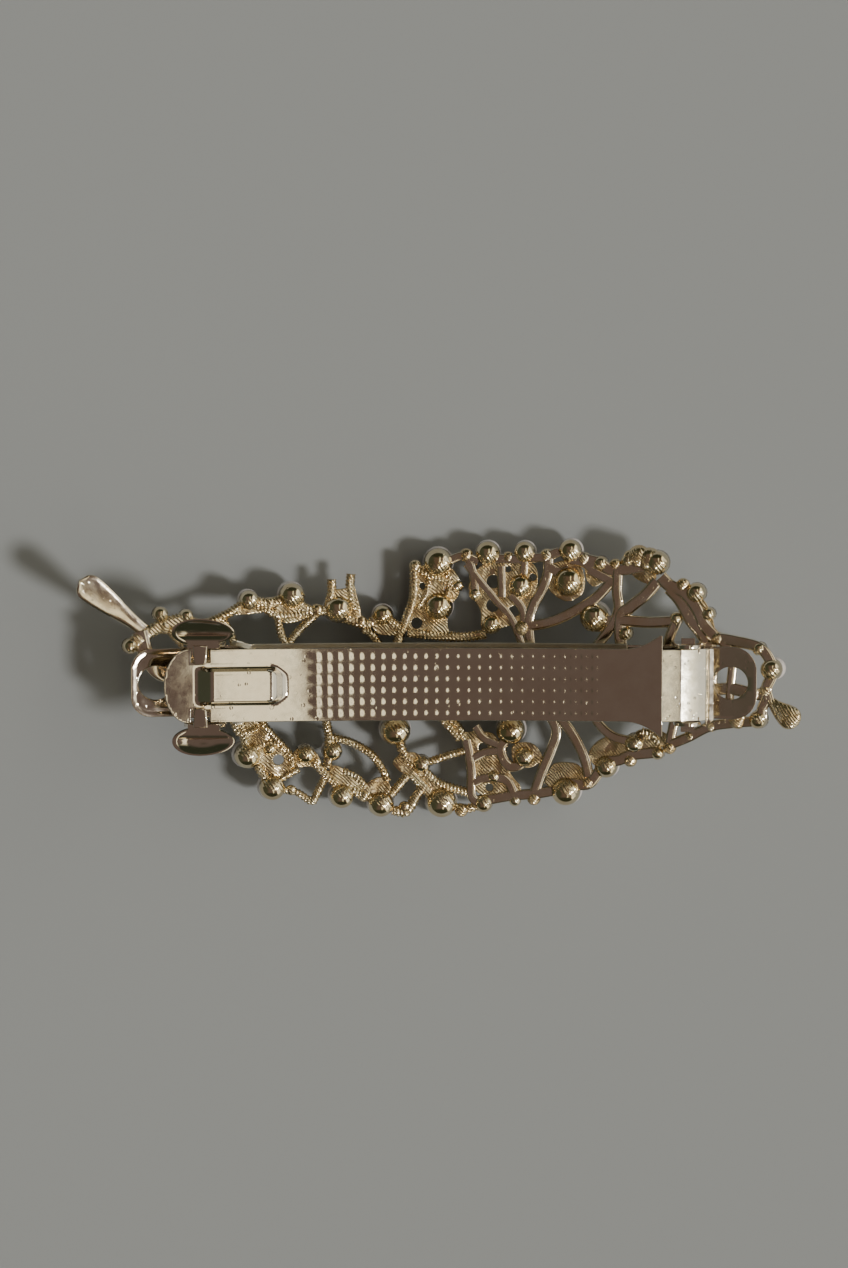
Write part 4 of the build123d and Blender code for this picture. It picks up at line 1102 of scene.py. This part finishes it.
def add_web(bm, points, holes):
    """A sheet between ribs, bent with the rest, its back a little lower than theirs."""
    rings = [arc(x, y, r, 360, 0, 20)[:-1] for x, y, r in holes]
    sheet = plate_from_outline(rounded(points), rings, 0.75, 0.12)
    left = min(x for x, y in points)
    right = max(x for x, y in points)
    slice_mesh(sheet, 0, left + 0.4, right - 0.4, 0.5)
    slice_mesh(sheet, 1, min(y for x, y in points) + 0.4, max(y for x, y in points) - 0.4, 0.5)
    lookup = {}
    for v in sheet.verts:
        x, y, h = v.co
        sag = 0.13 * math.sin(x * 2.3 + y) * math.cos(y * 1.9)
        lookup[v] = bm.verts.new((x, y, arch_z(x, FRONT_R - 0.2 - h + sag * (h > 0.4))))
    for face in sheet.faces:
        bm.faces.new([lookup[v] for v in face.verts])
    sheet.free()


def add_knob(bm, x, y, r):
    """A flattened blob of casting."""
    centre = on_web(x, y, 0.1)
    ball = bmesh.ops.create_icosphere(bm, subdivisions=3, radius=r)
    squash = Matrix.Diagonal((1, 1, 0.78, 1))
    for v in ball["verts"]:
        v.co = centre + (squash @ v.co)


def rounded_bar():
    """The section of a bar, 2 wide and 2 high, between round and square."""
    points = []
    for k in range(20):
        a = 2 * math.pi * k / 20
        c, s = math.cos(a), math.sin(a)
        points.append((math.copysign(abs(c) ** 0.8, c), math.copysign(abs(s) ** 0.55, s)))
    return points


def end_round(travelled, total, radius):
    """Narrows the last stretch of a bar to a round tip."""
    left = total - travelled
    if left > radius:
        return 1.0
    return math.sqrt(max(1 - ((radius - left) / radius) ** 2, 0.0004))


def pearl_depth(r):
    """Depth of a pearl's centre below its cup's rim."""
    return math.sqrt((PEARL * r) ** 2 - (POCKET * r) ** 2) + SEAT_GAP


def make_leaf():
    bm = bmesh.new()
    for width, points in ROPES:
        sweep(bm, web_path(points, 0.13), rope_section(width * 1.18))
    for points, holes in WEBS:
        add_web(bm, points, holes)
    for knob in KNOBS:
        add_knob(bm, *knob)
    place(finish_mesh("leaf_casting", bm, LEAF_GOLD, 50), "base", "leaf_gold", "leaf_frame")
    bm = bmesh.new()
    for places in (EDGE_PEARLS, INNER_PEARLS, VEIN_PEARLS, CRYSTALS, SEED_CRYSTALS):
        domed = places is not VEIN_PEARLS
        pearl = places not in (CRYSTALS, SEED_CRYSTALS)
        for x, y, r in places:
            floor = 0.75 * (PEARL * r - pearl_depth(r)) if pearl else 0.35 * r
            steps = (88 if r > 1.2 else 56) if domed else 32
            shape = striate(-1 if y > 0 else 1, r) if domed else None
            lathe(bm, on_arch(x, y, FRONT_R + CUP_LIP), cup_profile(r, domed, floor), steps, shape)
    place(finish_mesh("leaf_cups", bm, CUP_GOLD, 50), "base", "leaf_gold")
    bm = bmesh.new()
    for width, points in SMOOTH:
        sweep(bm, web_path(points, 0.3), flat_section(width * 1.15))
    sweep(
        bm, web_path(STEM, 0.2),
        lambda t, total: [
            (u * (0.85 + 0.95 * smoothstep(0.0, 0.85, t / total)) * end_round(t, total, 1.7),
             v * (0.42 if v < 0 else 0.42 - 0.08 * (1 - abs(u) ** 4) * smoothstep(0.2, 0.5, t / total)))
            for u, v in rounded_bar()
        ],
    )
    place(finish_mesh("leaf_smooth_ribs", bm, RIB_GOLD, 50), "base", "leaf_gold")
    bm = bmesh.new()
    sweep(
        bm, web_path(BUD, 0.12),
        lambda t, total: [
            (u * (0.6 + 0.95 * smoothstep(0.05, 0.75, t / total)) * end_round(t, total, 1.5),
             v * (0.45 + 0.3 * smoothstep(0.0, 0.6, t / total)) * end_round(t, total, 1.5))
            for u, v in rounded_bar()
        ],
    )
    place(finish_mesh("leaf_bud", bm, LEAF_GOLD, 50), "base", "leaf_gold")


def add_pearl(node, x, y, r):
    """A ball whose top is cut off flat inside its pocket."""
    bm = bmesh.new()
    depth = pearl_depth(r)
    ball = 0.998 * PEARL * r
    floor = 0.75 * (ball - depth)
    start = math.asin((depth + floor) / ball)
    profile = [(0, floor), (math.cos(start) * ball * 0.5, floor)]
    for i in range(25):
        a = start - (start + math.pi / 2) * i / 24
        profile.append((ball * math.cos(a) if i < 24 else 0, -depth + ball * math.sin(a)))
    lathe(bm, on_arch(x, y, FRONT_R + CUP_LIP), profile, 40)
    place(finish_mesh(f"{node}_bead", bm, PEARL_WHITE), "base", "pearl", node)


def add_crystal(bm, x, y, r, facets=8):
    """A round cut stone: flat back, girdle, two rows of crown facets and a table."""
    matrix = on_arch(x, y, FRONT_R + CUP_LIP)
    rows = [
        (POCKET * r - 0.2, 0.35 * r, 0.0), (POCKET * r - 0.05, 0.0, 0.0), (1.04 * r, -0.02, 0.0),
        (1.04 * r, -0.30 * r, 0.0), (0.86 * r, -0.55 * r, 0.5), (0.58 * r, -0.80 * r, 0.0),
    ]
    rings = []
    for radius, w, turn in rows:
        ring = []
        for k in range(facets * 2):
            a = math.pi * (k + turn) / facets
            ring.append(bm.verts.new(matrix @ Vector((radius * math.cos(a), radius * math.sin(a), w))))
        rings.append(ring)
    for a, b in zip(rings[:3], rings[1:4]):
        join_rings(bm, a, b)
    low, middle, high = rings[3:]
    for k in range(facets * 2):
        n = (k + 1) % (facets * 2)
        bm.faces.new((low[k], low[n], middle[k]))
        bm.faces.new((low[n], middle[n], middle[k]))
    for k in range(facets * 2):
        n = (k + 1) % (facets * 2)
        bm.faces.new((middle[k], high[n], high[k]))
        bm.faces.new((middle[k], middle[n], high[n]))
    bm.faces.new(rings[0][::-1])
    bm.faces.new(rings[-1])


def make_stones():
    for label, places in (("edge", EDGE_PEARLS), ("inner", INNER_PEARLS), ("vein", VEIN_PEARLS)):
        for number, (x, y, r) in enumerate(places, 1):
            add_pearl(f"pearl_{label}_{number:02d}", x, y, r)
    for number, (x, y, r) in enumerate(CRYSTALS, 1):
        node = f"crystal_{number:02d}"
        bm = bmesh.new()
        add_crystal(bm, x, y, r)
        place(finish_mesh(f"{node}_cut", bm, CUT_GLASS, 2), "base", "crystal", node)
    bm = bmesh.new()
    for x, y, r in SEED_CRYSTALS:
        add_crystal(bm, x, y, r, 6)
    place(finish_mesh("crystal_seeds_cut", bm, CUT_GLASS, 2), "base", "crystal", "crystal_seeds")


make_leaf()
make_stones()

# the solder joints keep their CAD shape
for name in ("solder_left", "solder_middle", "solder_right"):
    frame["nodes"][name].data.materials.clear()
    frame["nodes"][name].data.materials.append(SOLDER)
